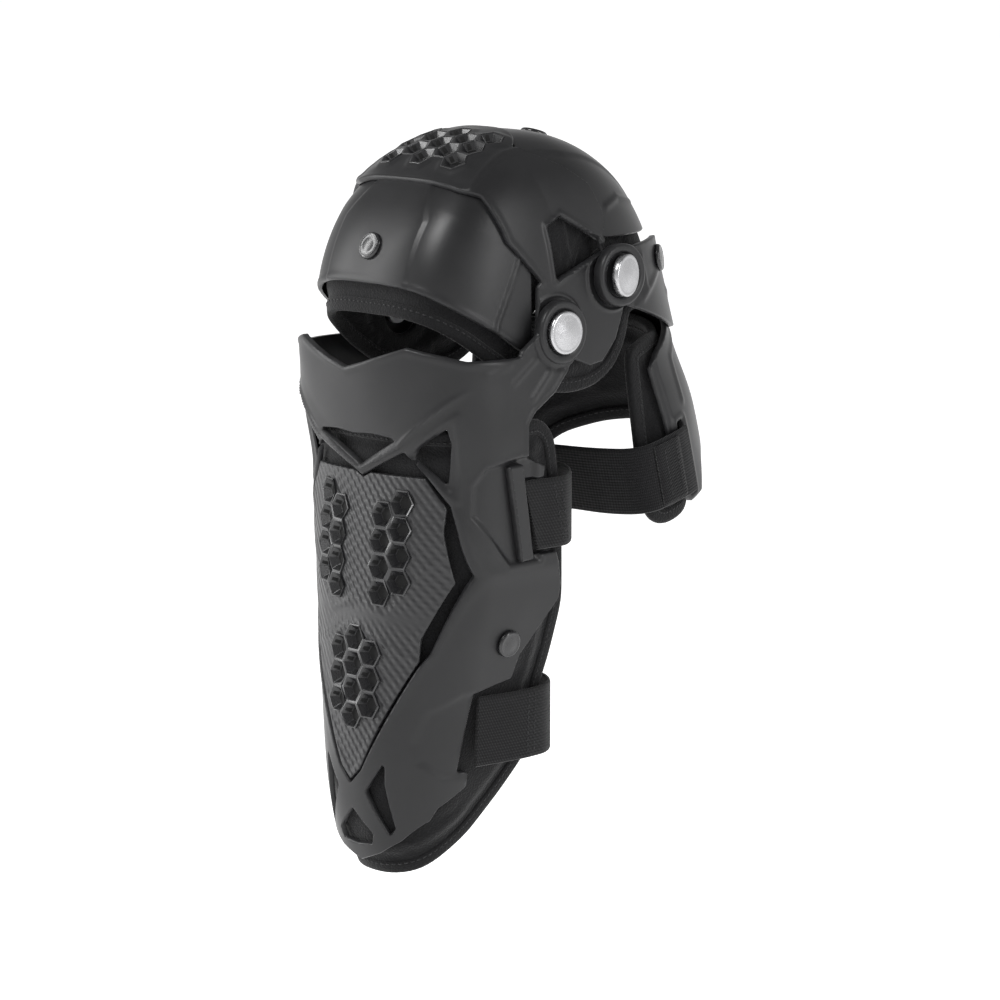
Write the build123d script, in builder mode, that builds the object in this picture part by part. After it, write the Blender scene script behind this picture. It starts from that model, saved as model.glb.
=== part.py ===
from build123d import *
import os
from math import cos, sin, radians

os.makedirs("parts", exist_ok=True)

# A hinged motorcycle knee and shin guard for one leg, folded, in millimetres.
# X runs across the leg, -Y is the front of the shin and +Z runs up the shin.
# The origin lies midway between the two lower hinges.

# hinges
UPPER_Y = 43.7                 # upper hinge axis, behind and above the lower one
UPPER_Z = 27.0
POST_RADIUS = 4.0
RUNNING_CLEARANCE = 0.05
CHEEK_FACE = 66.6              # outer face of the knee cup's hinge bosses
CHEEK_INSIDE = 61.5
ARM_INSIDE = 67.4
ARM_FACE = 72.2
ARM_BOSS_RADIUS = 17.0
CUP_BOSS_RADIUS = 12.5
CAP_RADIUS = 11.6
CAP_THICKNESS = 3.8
WASHER_THICKNESS = 0.5
UPPER_CAP_TURN = 15.0          # the upper caps face a little to the rear
UPPER_CAP_EXTRA = 1.1          # and are thicker in the middle, to keep their thin edge
SCREW_HEAD_RADIUS = 7.0
SCREW_HEAD_THICKNESS = 2.4
HINGE_GAP = 0.3

# shin guard: height, half width, front edge, start of the straight sides
SHIN_THICKNESS = 2.8
SHIN_EXPONENT = 2.3
SHIN_STATIONS = [
    (22, 72.0, -92, -36),
    (-17, 72.0, -90, -36),
    (-50, 71.5, -84.5, -36),
    (-75, 69, -78.5, -37),
    (-110, 65, -82, -39),
    (-154, 59, -84, -40),
    (-190, 52.5, -86.5, -41),
    (-238, 44.5, -88, -43),
    (-270, 39, -84.5, -44),
    (-296, 35, -77, -45),
]
SHIN_REAR = 16.0
PANEL_INSET = 0.7
PANEL_THICKNESS = 2.6
HEX_ACROSS = 12.0              # each vent, across its flats
HEX_PITCH = 14.0
SHIN_PAD_THICKNESS = 9.0
PAD_GAP = 0.3

# knee dome: centre of its round side view, size and lateral roundness by angle
DOME_Y = 17.0
DOME_Z = 6.0
DOME_RADIUS = 98.5
DOME_HALF_WIDTH = 66.4
DOME_EXPONENTS = [(40, 3.7), (75, 2.9), (150, 2.7)]  # degrees round it, 0 forwards, 90 up
DOME_AXLE_RADIUS = 3.0
PLATE_THICKNESS = 2.4
PLATE_STEP = 2.7               # how far the outer plates sit under the centre one
KNEE_PAD_STEP = 5.6
KNEE_PAD_THICKNESS = 7.0

# thigh cuff, in its own frame at the upper hinge: same station fields as the shin
THIGH_TURN = -76.0             # direction of the folded thigh, from straight back
THIGH_THICKNESS = 3.0
THIGH_EXPONENT = 1.9
THIGH_FRAME_STATIONS = [
    (-26, 72.2, -72, 0),
    (20, 72.2, -72.5, 0),
    (50, 72.6, -74, -1),
    (72, 73.4, -76, -2),
]
THIGH_PLATE_STATIONS = [
    (40, 68.2, -69, -1),
    (62, 70.0, -72.3, -2),
    (93, 74.5, -77, -4),
    (140, 75, -77, -5),
]
THIGH_PAD_STATIONS = [
    (46, 64.4, -65.0, -1),
    (75, 67.4, -68.8, -3),
    (100, 70.4, -72.7, -4),
    (146, 71.0, -73.0, -5),
]
THIGH_REAR = 20.0
THIGH_PAD_THICKNESS = 9.0

# straps and snaps
STRAP_WIDTH = 38.0
STRAP_THICKNESS = 2.2
SNAP_RADIUS = 7.3
SNAP_THICKNESS = 2.6
SNAP_STEM_RADIUS = 3.0
SNAP_SEAT = 0.4                # the snaps stand this far off a curved surface
BAR_THICKNESS = 2.4
BAR_GAP = 0.2                  # the bars stand just clear of the shin shell
THIGH_SNAP = (57.5, 41.0, 5.0)  # across, forwards and up from the upper hinge
THIGH_SNAP_TURN = 37.0         # degrees its face looks towards the front
SHIN_SNAP = (57.2, -26.0, -166.0)
SHIN_SNAP_TURN = 10.0          # degrees its face looks down

SHELL_LEVELS = 20              # sections in each loft, close enough to keep it smooth
SIDES = (("right", 1), ("left", -1))
WIDE = 220.0                   # a cut that passes right through the guard


def arch_points(half_width, depth, exponent, count=15):
    """Points of a rounded arch from one side, over the front, to the other."""
    points = []
    for step in range(count):
        angle = radians(180 - 180 * step / (count - 1))
        across = abs(cos(angle)) ** (2 / exponent) * half_width
        forward = abs(sin(angle)) ** (2 / exponent) * depth
        points.append((across if cos(angle) > 0 else -across, forward))
    return points


def cuff_section(plane, station, exponent, inset, thickness, rear):
    """One level of a shell that wraps the front and both sides of the leg."""
    height, half_width, front, side = station
    outside = half_width - inset
    inside = outside - thickness
    outer_depth = side - front - inset
    inner_depth = outer_depth - thickness
    outer = [(x, side - y) for x, y in arch_points(outside, outer_depth, exponent)]
    inner = [(x, side - y) for x, y in arch_points(inside, inner_depth, exponent)]
    with BuildSketch(plane.offset(height), mode=Mode.PRIVATE) as section:
        with BuildLine():
            Spline(outer)
            Polyline((outside, side), (outside, rear), (inside, rear), (inside, side))
            Spline(inner)
            Polyline((-inside, side), (-inside, rear), (-outside, rear), (-outside, side))
        make_face()
    return section.sketch


def station_at(stations, height):
    """Station fields at any height, on a smooth curve through the listed ones."""
    listed = sorted(stations)
    last = len(listed) - 1
    index = max(i for i in range(last) if listed[i][0] <= height)
    low, high = listed[index], listed[index + 1]
    before, after = listed[max(index - 1, 0)], listed[min(index + 2, last)]
    rise = high[0] - low[0]
    t = (height - low[0]) / rise
    fields = [height]
    for field in (1, 2, 3):
        low_slope = (high[field] - before[field]) / (high[0] - before[0])
        high_slope = (after[field] - low[field]) / (after[0] - low[0])
        fields.append(
            (2 * t**3 - 3 * t**2 + 1) * low[field]
            + (t**3 - 2 * t**2 + t) * rise * low_slope
            + (3 * t**2 - 2 * t**3) * high[field]
            + (t**3 - t**2) * rise * high_slope
        )
    return tuple(fields)


def shell_sections(plane, stations, exponent, inset, thickness, rear):
    """Evenly spaced levels of a shell, from its lowest to its highest station."""
    lowest = min(stations)[0]
    step = (max(stations)[0] - lowest) / (SHELL_LEVELS - 1)
    heights = [lowest + step * level for level in range(SHELL_LEVELS)]
    return [
        cuff_section(plane, station_at(stations, height), exponent, inset, thickness, rear)
        for height in heights
    ]


def dome_exponent(angle):
    """Lateral roundness of the dome: boxy in front, rounder towards the rear."""
    exponent = DOME_EXPONENTS[0][1]
    for (start, first), (end, last) in zip(DOME_EXPONENTS, DOME_EXPONENTS[1:]):
        share = min(max((angle - start) / (end - start), 0), 1)
        exponent += (last - first) * share
    return exponent


def dome_plane(angle):
    """Plane through the dome's cross axis, at an angle round its side view."""
    turn = radians(angle)
    return Plane(
        origin=(0, DOME_Y, DOME_Z),
        x_dir=(1, 0, 0),
        z_dir=(0, -sin(turn), -cos(turn)),
    )


def dome_section(angle, inset, thickness):
    """One slice of a dome plate, from cheek to cheek."""
    exponent = dome_exponent(angle)
    outside = DOME_HALF_WIDTH - inset
    outer_rise = DOME_RADIUS - inset
    outer = arch_points(outside, outer_rise, exponent, 17)[1:-1]
    inner = arch_points(outside - thickness, outer_rise - thickness, exponent, 17)[1:-1]
    outer = [(-outside, DOME_AXLE_RADIUS)] + outer + [(outside, DOME_AXLE_RADIUS)]
    inner_end = outside - thickness
    inner = [(-inner_end, DOME_AXLE_RADIUS)] + inner + [(inner_end, DOME_AXLE_RADIUS)]
    with BuildSketch(dome_plane(angle), mode=Mode.PRIVATE) as section:
        with BuildLine():
            Spline(outer)
            Line(outer[-1], inner[-1])
            Spline(inner)
            Line(inner[0], outer[0])
        make_face()
    return section.sketch


def dome_slices(first, last, inset, thickness, count):
    """Slices of a dome plate, evenly spaced between two angles."""
    angles = [first + (last - first) * step / (count - 1) for step in range(count)]
    return [dome_section(angle, inset, thickness) for angle in angles]


def side_plane(distance):
    """Side view plane of the shin and the knee: y to the rear, z up."""
    return Plane.YZ.offset(distance)


THIGH_UP = (0, cos(radians(THIGH_TURN)), sin(radians(THIGH_TURN)))
THIGH_FRONT = (0, -THIGH_UP[2], THIGH_UP[1])
THIGH_PLANE = Plane(origin=(0, UPPER_Y, UPPER_Z), x_dir=(1, 0, 0), z_dir=THIGH_UP)


def thigh_side_plane(distance):
    """Side view plane of the thigh cuff: local y to its rear, z up the thigh."""
    backwards = (0, -THIGH_FRONT[1], -THIGH_FRONT[2])
    return Plane(origin=(distance, UPPER_Y, UPPER_Z), x_dir=backwards, z_dir=(1, 0, 0))


def thigh_front_plane(distance):
    """Front view plane of the thigh cuff, moved forwards of the hinge."""
    origin = (0, UPPER_Y + THIGH_FRONT[1] * distance, UPPER_Z + THIGH_FRONT[2] * distance)
    return Plane(origin=origin, x_dir=(1, 0, 0), z_dir=THIGH_FRONT)


def hinge_plane(distance, y, z, side):
    """Plane across a hinge axis, facing out on either side of the leg."""
    return Plane(origin=(side * distance, y, z), x_dir=(0, side, 0), z_dir=(side, 0, 0))


def cap_plane(side):
    """Outer face of an upper hinge cap, turned a little to the rear."""
    turn = radians(UPPER_CAP_TURN)
    return Plane(
        origin=(side * (ARM_FACE + CAP_THICKNESS + UPPER_CAP_EXTRA), UPPER_Y, UPPER_Z),
        x_dir=(0, 0, 1),
        z_dir=(side * cos(turn), sin(turn), 0),
    )


def thigh_snap_plane(side, distance):
    """Seat of a thigh snap on the rounded corner of the cuff."""
    across, forwards, up = THIGH_SNAP
    turn = radians(THIGH_SNAP_TURN)
    normal = (side * cos(turn), sin(turn) * THIGH_FRONT[1], sin(turn) * THIGH_FRONT[2])
    origin = (
        side * across + distance * normal[0],
        UPPER_Y + forwards * THIGH_FRONT[1] + up * THIGH_UP[1] + distance * normal[1],
        UPPER_Z + forwards * THIGH_FRONT[2] + up * THIGH_UP[2] + distance * normal[2],
    )
    return Plane(origin=origin, z_dir=normal)


def shin_snap_plane(side, distance):
    """Seat of a shin snap on the flat side of the shin guard."""
    across, back, up = SHIN_SNAP
    turn = radians(SHIN_SNAP_TURN)
    normal = (side * cos(turn), 0, -sin(turn))
    origin = (side * across + distance * normal[0], back, up + distance * normal[2])
    return Plane(origin=origin, z_dir=normal)


def mirrored(points):
    """Close a right-hand outline with its mirror image on the left."""
    return points + [(-x, z) for x, z in reversed(points) if x > 0]


# ---------------------------------------------------------------- shin guard
SHIN_SIDE_OUTLINE = [
    (-110, 30), (-60, 4), (-56.3, -10.9), (-31, -9.3), (-17, 0), (0, 17), (17, 0),
    (14, -10), (-4.6, -31.4), (-19, -40.6), (-24, -47), (-22.5, -65), (-10, -70.6),
    (-10, -76.5), (-26, -76.5), (-13, -119), (4, -119), (10, -138), (9, -146), (2, -154),
    (-15, -174), (-19, -187), (-31, -189), (-45, -192), (-50, -235), (-43, -236),
    (-43, -244), (-60, -254), (-80, -290), (-110, -290),
]
MASK_NOTCH = mirrored([(0, -17), (14, -13), (41, -4), (58, -8), (66, -11), (90, -11), (90, 60)])
SHIN_TIP = mirrored([(0, -286), (15, -280), (27, -272), (36, -262), (50, -250), (50, -310)])
PANEL_OPENING = mirrored([
    (0, -76), (33, -60.5), (37, -64), (55, -88), (57.5, -100), (61, -126), (45, -168),
    (40, -175), (21, -210), (8, -234), (0, -242),
])
PANEL_OUTLINE = mirrored([
    (0, -77), (32, -62), (36, -65.5), (53, -89), (52, -102), (55.5, -129), (41, -160),
    (40, -172), (20, -208), (7.5, -233), (0, -240),
])
MASK_WINDOW = mirrored([(0, -70), (31, -53.5), (14, -52), (0, -53)])
SIDE_VENT = [(38, -64), (42, -58), (57, -47), (58, -55), (53.5, -77)]
TIP_DIAMOND = [(23, -228), (22.5, -240), (24.5, -256), (25.5, -265), (22.5, -269), (11, -245)]
TIP_TRIANGLE = mirrored([(0, -256), (13, -269), (11, -275), (0, -276)])

with BuildPart() as shin_shell:
    loft(sections=shell_sections(
        Plane.XY, SHIN_STATIONS, SHIN_EXPONENT, 0, SHIN_THICKNESS, SHIN_REAR
    ))
    with BuildSketch(side_plane(-WIDE / 2)):
        with BuildLine():
            Polyline(SHIN_SIDE_OUTLINE, close=True)
        make_face()
    extrude(amount=WIDE, mode=Mode.INTERSECT)
    for name, side in SIDES:
        with BuildSketch(hinge_plane(ARM_INSIDE, 0, 0, side)):
            Circle(ARM_BOSS_RADIUS)
        extrude(amount=ARM_FACE - ARM_INSIDE)
    with BuildSketch(Plane.XZ.offset(30)):
        with BuildLine():
            Polyline(MASK_NOTCH, close=True)
        make_face()
        with BuildLine():
            Polyline(SHIN_TIP, close=True)
        make_face()
        with BuildLine():
            Polyline(PANEL_OPENING, close=True)
        make_face()
        with BuildLine():
            Polyline(TIP_TRIANGLE, close=True)
        make_face()
        with BuildLine():
            Polyline(MASK_WINDOW, close=True)
        make_face()
        for direction in (1, -1):
            for outline in (SIDE_VENT, TIP_DIAMOND):
                with BuildLine():
                    Polyline([(direction * x, z) for x, z in outline], close=True)
                make_face()
    extrude(amount=WIDE / 2, mode=Mode.SUBTRACT)
    for name, side in SIDES:
        with BuildSketch(hinge_plane(ARM_INSIDE - 12, 0, 0, side)):
            Circle(ARM_BOSS_RADIUS + 4)
        extrude(amount=12, mode=Mode.SUBTRACT)
        with BuildSketch(hinge_plane(ARM_INSIDE - 1, 0, 0, side)):
            Circle(POST_RADIUS)
        extrude(amount=12, mode=Mode.SUBTRACT)
shin_shell.part.label = "shin_shell"
export_step(shin_shell.part, "parts/shin_shell.step")

HEX_RADIUS = HEX_ACROSS / 3 ** 0.5
HEX_STEP = HEX_PITCH * 3 ** 0.5 / 2
UPPER_VENT_INNER = 17.0
UPPER_VENT_TOP = -95.0
LOWER_VENT_TOP = -163.0
UPPER_VENTS = [
    (direction * (UPPER_VENT_INNER + column * HEX_STEP), UPPER_VENT_TOP + HEX_PITCH * (column / 2 - row))
    for direction in (1, -1)
    for column in range(2)
    for row in range(4)
]
LOWER_VENTS = [
    (column * HEX_STEP, LOWER_VENT_TOP - HEX_PITCH * (row + abs(column) / 2))
    for column in (-1, 0, 1)
    for row in range(4 - abs(column))
]

with BuildPart() as shin_centre_panel:
    loft(sections=shell_sections(
        Plane.XY, SHIN_STATIONS, SHIN_EXPONENT, PANEL_INSET, PANEL_THICKNESS, SHIN_REAR
    ))
    with BuildSketch(Plane.XZ.offset(45)):
        with BuildLine():
            Polyline(PANEL_OUTLINE, close=True)
        make_face()
        with Locations(UPPER_VENTS + LOWER_VENTS):
            RegularPolygon(HEX_RADIUS, 6, mode=Mode.SUBTRACT)
    extrude(amount=WIDE / 2, mode=Mode.INTERSECT)
shin_centre_panel.part.label = "shin_centre_panel"
export_step(shin_centre_panel.part, "parts/shin_centre_panel.step")

SHIN_PAD_INSET = PANEL_INSET + PANEL_THICKNESS + PAD_GAP
SHIN_PAD_REAR = 20.0
SHIN_PAD_OUTLINE = [
    (-110, -50), (-30, -50), (-10, -46), (0, -55), (5, -75), (12, -110), (17, -148),
    (12, -180), (8, -195), (5, -232), (-12, -252), (-33, -273), (-60, -289), (-75, -294),
    (-110, -294),
]

with BuildPart() as shin_pad:
    loft(sections=shell_sections(
        Plane.XY, SHIN_STATIONS, SHIN_EXPONENT, SHIN_PAD_INSET, SHIN_PAD_THICKNESS, SHIN_PAD_REAR
    ))
    with BuildSketch(side_plane(-WIDE / 2)):
        with BuildLine():
            Polyline(SHIN_PAD_OUTLINE, close=True)
        make_face()
    extrude(amount=WIDE, mode=Mode.INTERSECT)
shin_pad.part.label = "shin_pad"
export_step(shin_pad.part, "parts/shin_pad.step")

BAR_OUTLINE = [(-37, -69), (-28, -68), (-15, -120.5), (-23, -121)]

for name, side in SIDES:
    with BuildPart() as strap_bar:
        loft(sections=shell_sections(
            Plane.XY, SHIN_STATIONS, SHIN_EXPONENT, -BAR_THICKNESS, BAR_THICKNESS - BAR_GAP, SHIN_REAR
        ))
        with BuildSketch(side_plane(0)):
            with BuildLine():
                Polyline(BAR_OUTLINE, close=True)
            make_face()
        extrude(amount=side * WIDE / 2, mode=Mode.INTERSECT)
    strap_bar.part.label = f"calf_strap_bar_{name}"
    export_step(strap_bar.part, f"parts/calf_strap_bar_{name}.step")


def band_section(plane, path, thickness):
    """A strap seen edge on: an even band along a path and its mirror image."""
    whole = [(-x, y) for x, y in path] + [(x, y) for x, y in reversed(path[:-1])]
    outer = []
    inner = []
    for index, (x, y) in enumerate(whole):
        before = whole[max(index - 1, 0)]
        after = whole[min(index + 1, len(whole) - 1)]
        run = (after[0] - before[0], after[1] - before[1])
        length = (run[0] ** 2 + run[1] ** 2) ** 0.5
        shift = (-run[1] / length * thickness / 2, run[0] / length * thickness / 2)
        outer.append((x + shift[0], y + shift[1]))
        inner.append((x - shift[0], y - shift[1]))
    with BuildSketch(plane, mode=Mode.PRIVATE) as section:
        with BuildLine():
            Spline(outer)
            Line(outer[-1], inner[-1])
            Spline(inner)
            Line(inner[0], outer[0])
        make_face()
    return section.sketch


UPPER_STRAP_PATH = [(66.9, -24), (67, -12), (67.4, 0), (66, 9), (58, 19), (46, 28), (28, 37), (0, 42)]
UPPER_STRAP_OUTLINE = [(-25.3, -77.5), (60, -77.5), (60, -115.5), (-13.6, -115.5)]
LOWER_STRAP_PATH = [(50.6, -44), (52.6, -20), (53, -4), (51, 8), (42, 18.5), (26, 28), (0, 33)]
LOWER_STRAP_OUTLINE = [(-44.5, -194), (60, -194), (60, -232), (-49, -232)]

with BuildPart() as upper_calf_strap:
    extrude(band_section(Plane.XY.offset(-130), UPPER_STRAP_PATH, STRAP_THICKNESS), amount=70)
    with BuildSketch(side_plane(-WIDE / 2)):
        with BuildLine():
            Polyline(UPPER_STRAP_OUTLINE, close=True)
        make_face()
    extrude(amount=WIDE, mode=Mode.INTERSECT)
upper_calf_strap.part.label = "upper_calf_strap"
export_step(upper_calf_strap.part, "parts/upper_calf_strap.step")

with BuildPart() as lower_calf_strap:
    extrude(band_section(Plane.XY.offset(-240), LOWER_STRAP_PATH, STRAP_THICKNESS), amount=60)
    with BuildSketch(side_plane(-WIDE / 2)):
        with BuildLine():
            Polyline(LOWER_STRAP_OUTLINE, close=True)
        make_face()
    extrude(amount=WIDE, mode=Mode.INTERSECT)
lower_calf_strap.part.label = "lower_calf_strap"
export_step(lower_calf_strap.part, "parts/lower_calf_strap.step")

# ---------------------------------------------------------------- knee cup
CENTRE_PLATE_OUTLINE = [
    (-70, 120), (-56, 88), (-46, 76), (-38, 73), (-30, 48.5), (-10, 27), (8, 17), (17, 6),
    (33, 34), (39, 45), (41, 61), (35, 76), (20, 86), (-3, 96), (12, 105), (12, 120),
]
CHEEK_WINDOW = [(-3, 55), (8, 60), (34, 46), (36, 40), (1, 27)]
CHEEK_OUTLINE = [
    (-12, 24), (-13, -8), (0, -14), (14, -16), (26, -20.5), (36, -19), (46, -8), (52, 7),
    (54, 20), (48, 36), (36, 42), (20, 44), (0, 38),
]
CHEEK_PLATE_INSIDE = 62.0
CHEEK_PLATE_THICKNESS = 2.6
FRONT_PLATE_OUTLINE = [
    (-110, 30), (-79.5, 30), (-77, 26.5), (-66, 18), (-53, 10), (-37, 1), (-24, -8),
    (-17, -11), (-14, -4), (-14, 30), (-20, 52), (-26, 76), (-34, 92), (-34, 120), (-110, 120),
]
REAR_PLATE_OUTLINE = [
    (2, 120), (2, 104), (-12, 94), (-10, 86), (10, 80), (25, 70), (30, 60), (30, 48),
    (46, 46), (120, 46), (120, 120),
]
KNEE_PAD_OUTLINE = [
    (-120, 15), (-78, 15), (-66, 7), (-53, -2), (-40, -12), (-20, -25), (0, -32), (17, -34), (17, 6),
    (120, 6), (120, 120), (-120, 120),
]
KNEE_PAD_CHEEK = [
    (-14, 4), (-16, -20), (0, -32), (20, -34.5), (38, -32), (52, -24), (62, -8), (63, 8),
    (58, 22), (44, 34), (20, 40), (-8, 28),
]
KNEE_PAD_CHEEK_INSIDE = 54.2
KNEE_PAD_CHEEK_THICKNESS = 6.6
KNEE_PAD_HOLE_RADIUS = CUP_BOSS_RADIUS + 0.6
HINGES = (("lower", 0, 0), ("upper", UPPER_Y, UPPER_Z))
FRONT_SNAP_ANGLE = 24.0
REAR_SNAP_ANGLE = 108.0
TOP_VENT_ANGLE = 67.0
TOP_VENTS = [
    (column * HEX_STEP, HEX_PITCH * (row - (2 - abs(column) % 2) / 2))
    for column in range(-2, 3)
    for row in range(3 - abs(column) % 2)
]


def dome_tangent_plane(angle, radius):
    """Plane that touches the dome's centre line, facing out."""
    turn = radians(angle)
    outwards = (0, -cos(turn), sin(turn))
    origin = (0, DOME_Y + outwards[1] * radius, DOME_Z + outwards[2] * radius)
    return Plane(origin=origin, x_dir=(1, 0, 0), z_dir=outwards)


with BuildPart() as knee_centre_plate:
    loft(sections=dome_slices(34, 122, 0, PLATE_THICKNESS, 7))
    with BuildSketch(side_plane(-WIDE / 2)):
        with BuildLine():
            Polyline(CENTRE_PLATE_OUTLINE, close=True)
        make_face()
        with BuildLine():
            Polyline(CHEEK_WINDOW, close=True)
        make_face(mode=Mode.SUBTRACT)
    extrude(amount=WIDE, mode=Mode.INTERSECT)
    with BuildSketch(dome_tangent_plane(TOP_VENT_ANGLE, DOME_RADIUS - 8)):
        with Locations(TOP_VENTS):
            RegularPolygon(HEX_RADIUS, 6)
    extrude(amount=20, mode=Mode.SUBTRACT)
    for name, side in SIDES:
        with BuildSketch(hinge_plane(CHEEK_PLATE_INSIDE, 0, 0, side)):
            with BuildLine():
                Polyline([(side * y, z) for y, z in CHEEK_OUTLINE], close=True)
            make_face()
        extrude(amount=CHEEK_PLATE_THICKNESS)
        for hinge, y, z in HINGES:
            with BuildSketch(hinge_plane(CHEEK_INSIDE, y, z, side)):
                Circle(CUP_BOSS_RADIUS)
            extrude(amount=CHEEK_FACE - CHEEK_INSIDE)
            with BuildSketch(hinge_plane(CHEEK_INSIDE - 2, y, z, side)):
                Circle(POST_RADIUS + RUNNING_CLEARANCE)
            extrude(amount=CHEEK_FACE - CHEEK_INSIDE + 4, mode=Mode.SUBTRACT)
knee_centre_plate.part.label = "knee_centre_plate"
export_step(knee_centre_plate.part, "parts/knee_centre_plate.step")

with BuildPart() as knee_front_plate:
    loft(sections=dome_slices(-22, 66, PLATE_STEP, PLATE_THICKNESS, 7))
    with BuildSketch(side_plane(-WIDE / 2)):
        with BuildLine():
            Polyline(FRONT_PLATE_OUTLINE, close=True)
        make_face()
    extrude(amount=WIDE, mode=Mode.INTERSECT)
    with BuildSketch(dome_tangent_plane(FRONT_SNAP_ANGLE, DOME_RADIUS - 12)):
        Circle(SNAP_STEM_RADIUS)
    extrude(amount=20, mode=Mode.SUBTRACT)
knee_front_plate.part.label = "knee_front_plate"
export_step(knee_front_plate.part, "parts/knee_front_plate.step")

with BuildPart() as knee_rear_plate:
    loft(sections=dome_slices(82, 152, PLATE_STEP, PLATE_THICKNESS, 7))
    with BuildSketch(side_plane(-WIDE / 2)):
        with BuildLine():
            Polyline(REAR_PLATE_OUTLINE, close=True)
        make_face()
    extrude(amount=WIDE, mode=Mode.INTERSECT)
    with BuildSketch(dome_tangent_plane(REAR_SNAP_ANGLE, DOME_RADIUS - 12)):
        Circle(SNAP_STEM_RADIUS)
    extrude(amount=20, mode=Mode.SUBTRACT)
knee_rear_plate.part.label = "knee_rear_plate"
export_step(knee_rear_plate.part, "parts/knee_rear_plate.step")

with BuildPart() as knee_pad:
    loft(sections=dome_slices(-62, 166, KNEE_PAD_STEP, KNEE_PAD_THICKNESS, 13))
    with BuildSketch(side_plane(-WIDE / 2)):
        with BuildLine():
            Polyline(KNEE_PAD_OUTLINE, close=True)
        make_face()
    extrude(amount=WIDE, mode=Mode.INTERSECT)
    for name, side in SIDES:
        with BuildSketch(hinge_plane(KNEE_PAD_CHEEK_INSIDE, 0, 0, side)):
            with BuildLine():
                Polyline([(side * y, z) for y, z in KNEE_PAD_CHEEK], close=True)
            make_face()
        extrude(amount=KNEE_PAD_CHEEK_THICKNESS)
        for hinge, y, z in HINGES:
            with BuildSketch(hinge_plane(KNEE_PAD_CHEEK_INSIDE - 10, y, z, side)):
                Circle(KNEE_PAD_HOLE_RADIUS)
            extrude(amount=24, mode=Mode.SUBTRACT)
knee_pad.part.label = "knee_pad"
export_step(knee_pad.part, "parts/knee_pad.step")

for name, angle in (("front", FRONT_SNAP_ANGLE), ("rear", REAR_SNAP_ANGLE)):
    with BuildPart() as knee_snap:
        with BuildSketch(dome_tangent_plane(angle, DOME_RADIUS - PLATE_STEP)):
            Circle(SNAP_RADIUS)
        extrude(amount=SNAP_THICKNESS)
        with BuildSketch(dome_tangent_plane(angle, DOME_RADIUS - PLATE_STEP - PLATE_THICKNESS)):
            Circle(SNAP_STEM_RADIUS)
        extrude(amount=PLATE_THICKNESS)
    knee_snap.part.label = f"knee_snap_{name}"
    export_step(knee_snap.part, f"parts/knee_snap_{name}.step")

# ---------------------------------------------------------------- thigh cuff
ARM_OUTLINE = [
    (-110, -6), (-57, -4.5), (-20, -11), (-8, -15), (0, -17), (12, -12), (17, 0), (12, 12),
    (0, 17), (-14, 25), (-55, 50), (-78, 60), (-110, 62),
]
KNEE_ARCH = mirrored([(0, 31), (30, 31), (40, 29.5), (45, 27), (50, 19.5), (54, 5), (55.5, -40)])
THIGH_PLATE_OUTLINE = [(-110, 44), (-56, 44), (-22, 52), (-13, 58), (-13, 128), (-22, 138), (-110, 138)]
THIGH_SLOT = [(-28, 92), (-21, 92), (-21, 134), (-28, 134)]
THIGH_PLATE_ARCH = mirrored([(0, 108), (30, 110), (50, 114), (60, 122), (66, 138), (66, 170)])
THIGH_PAD_ARCH = mirrored([(0, 113), (30, 115), (50, 119), (58, 126), (63, 140), (63, 170)])
THIGH_PAD_OUTLINE = [
    (-110, 50), (-40, 50), (-14, 42), (-6, 42), (-2, 60), (6, 100), (8, 136), (0, 144), (-110, 144),
]

with BuildPart() as thigh_frame:
    loft(sections=shell_sections(
        THIGH_PLANE, THIGH_FRAME_STATIONS, THIGH_EXPONENT, 0, THIGH_THICKNESS, THIGH_REAR
    ))
    with BuildSketch(thigh_side_plane(-WIDE / 2)):
        with BuildLine():
            Polyline(ARM_OUTLINE, close=True)
        make_face()
    extrude(amount=WIDE, mode=Mode.INTERSECT)
    with BuildSketch(thigh_front_plane(25)):
        with BuildLine():
            Polyline(KNEE_ARCH, close=True)
        make_face()
    extrude(amount=WIDE / 2, mode=Mode.SUBTRACT)
    for name, side in SIDES:
        with BuildSketch(hinge_plane(ARM_INSIDE, UPPER_Y, UPPER_Z, side)):
            Circle(ARM_BOSS_RADIUS)
        extrude(amount=ARM_FACE - ARM_INSIDE)
        with BuildSketch(hinge_plane(ARM_INSIDE - 12, UPPER_Y, UPPER_Z, side)):
            Circle(ARM_BOSS_RADIUS + 4)
        extrude(amount=12, mode=Mode.SUBTRACT)
        with BuildSketch(hinge_plane(ARM_INSIDE - 1, UPPER_Y, UPPER_Z, side)):
            Circle(POST_RADIUS)
        extrude(amount=14, mode=Mode.SUBTRACT)
        with BuildSketch(thigh_snap_plane(side, -6)):
            Circle(SNAP_STEM_RADIUS)
        extrude(amount=12, mode=Mode.SUBTRACT)
thigh_frame.part.label = "thigh_frame"
export_step(thigh_frame.part, "parts/thigh_frame.step")

with BuildPart() as thigh_plate:
    loft(sections=shell_sections(
        THIGH_PLANE, THIGH_PLATE_STATIONS, THIGH_EXPONENT, 0, THIGH_THICKNESS, THIGH_REAR
    ))
    with BuildSketch(thigh_side_plane(-WIDE / 2)):
        with BuildLine():
            Polyline(THIGH_PLATE_OUTLINE, close=True)
        make_face()
        with BuildLine():
            Polyline(THIGH_SLOT, close=True)
        make_face(mode=Mode.SUBTRACT)
    extrude(amount=WIDE, mode=Mode.INTERSECT)
    with BuildSketch(thigh_front_plane(0)):
        with BuildLine():
            Polyline(THIGH_PLATE_ARCH, close=True)
        make_face()
    extrude(amount=WIDE / 2, mode=Mode.SUBTRACT)
thigh_plate.part.label = "thigh_plate"
export_step(thigh_plate.part, "parts/thigh_plate.step")

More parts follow.
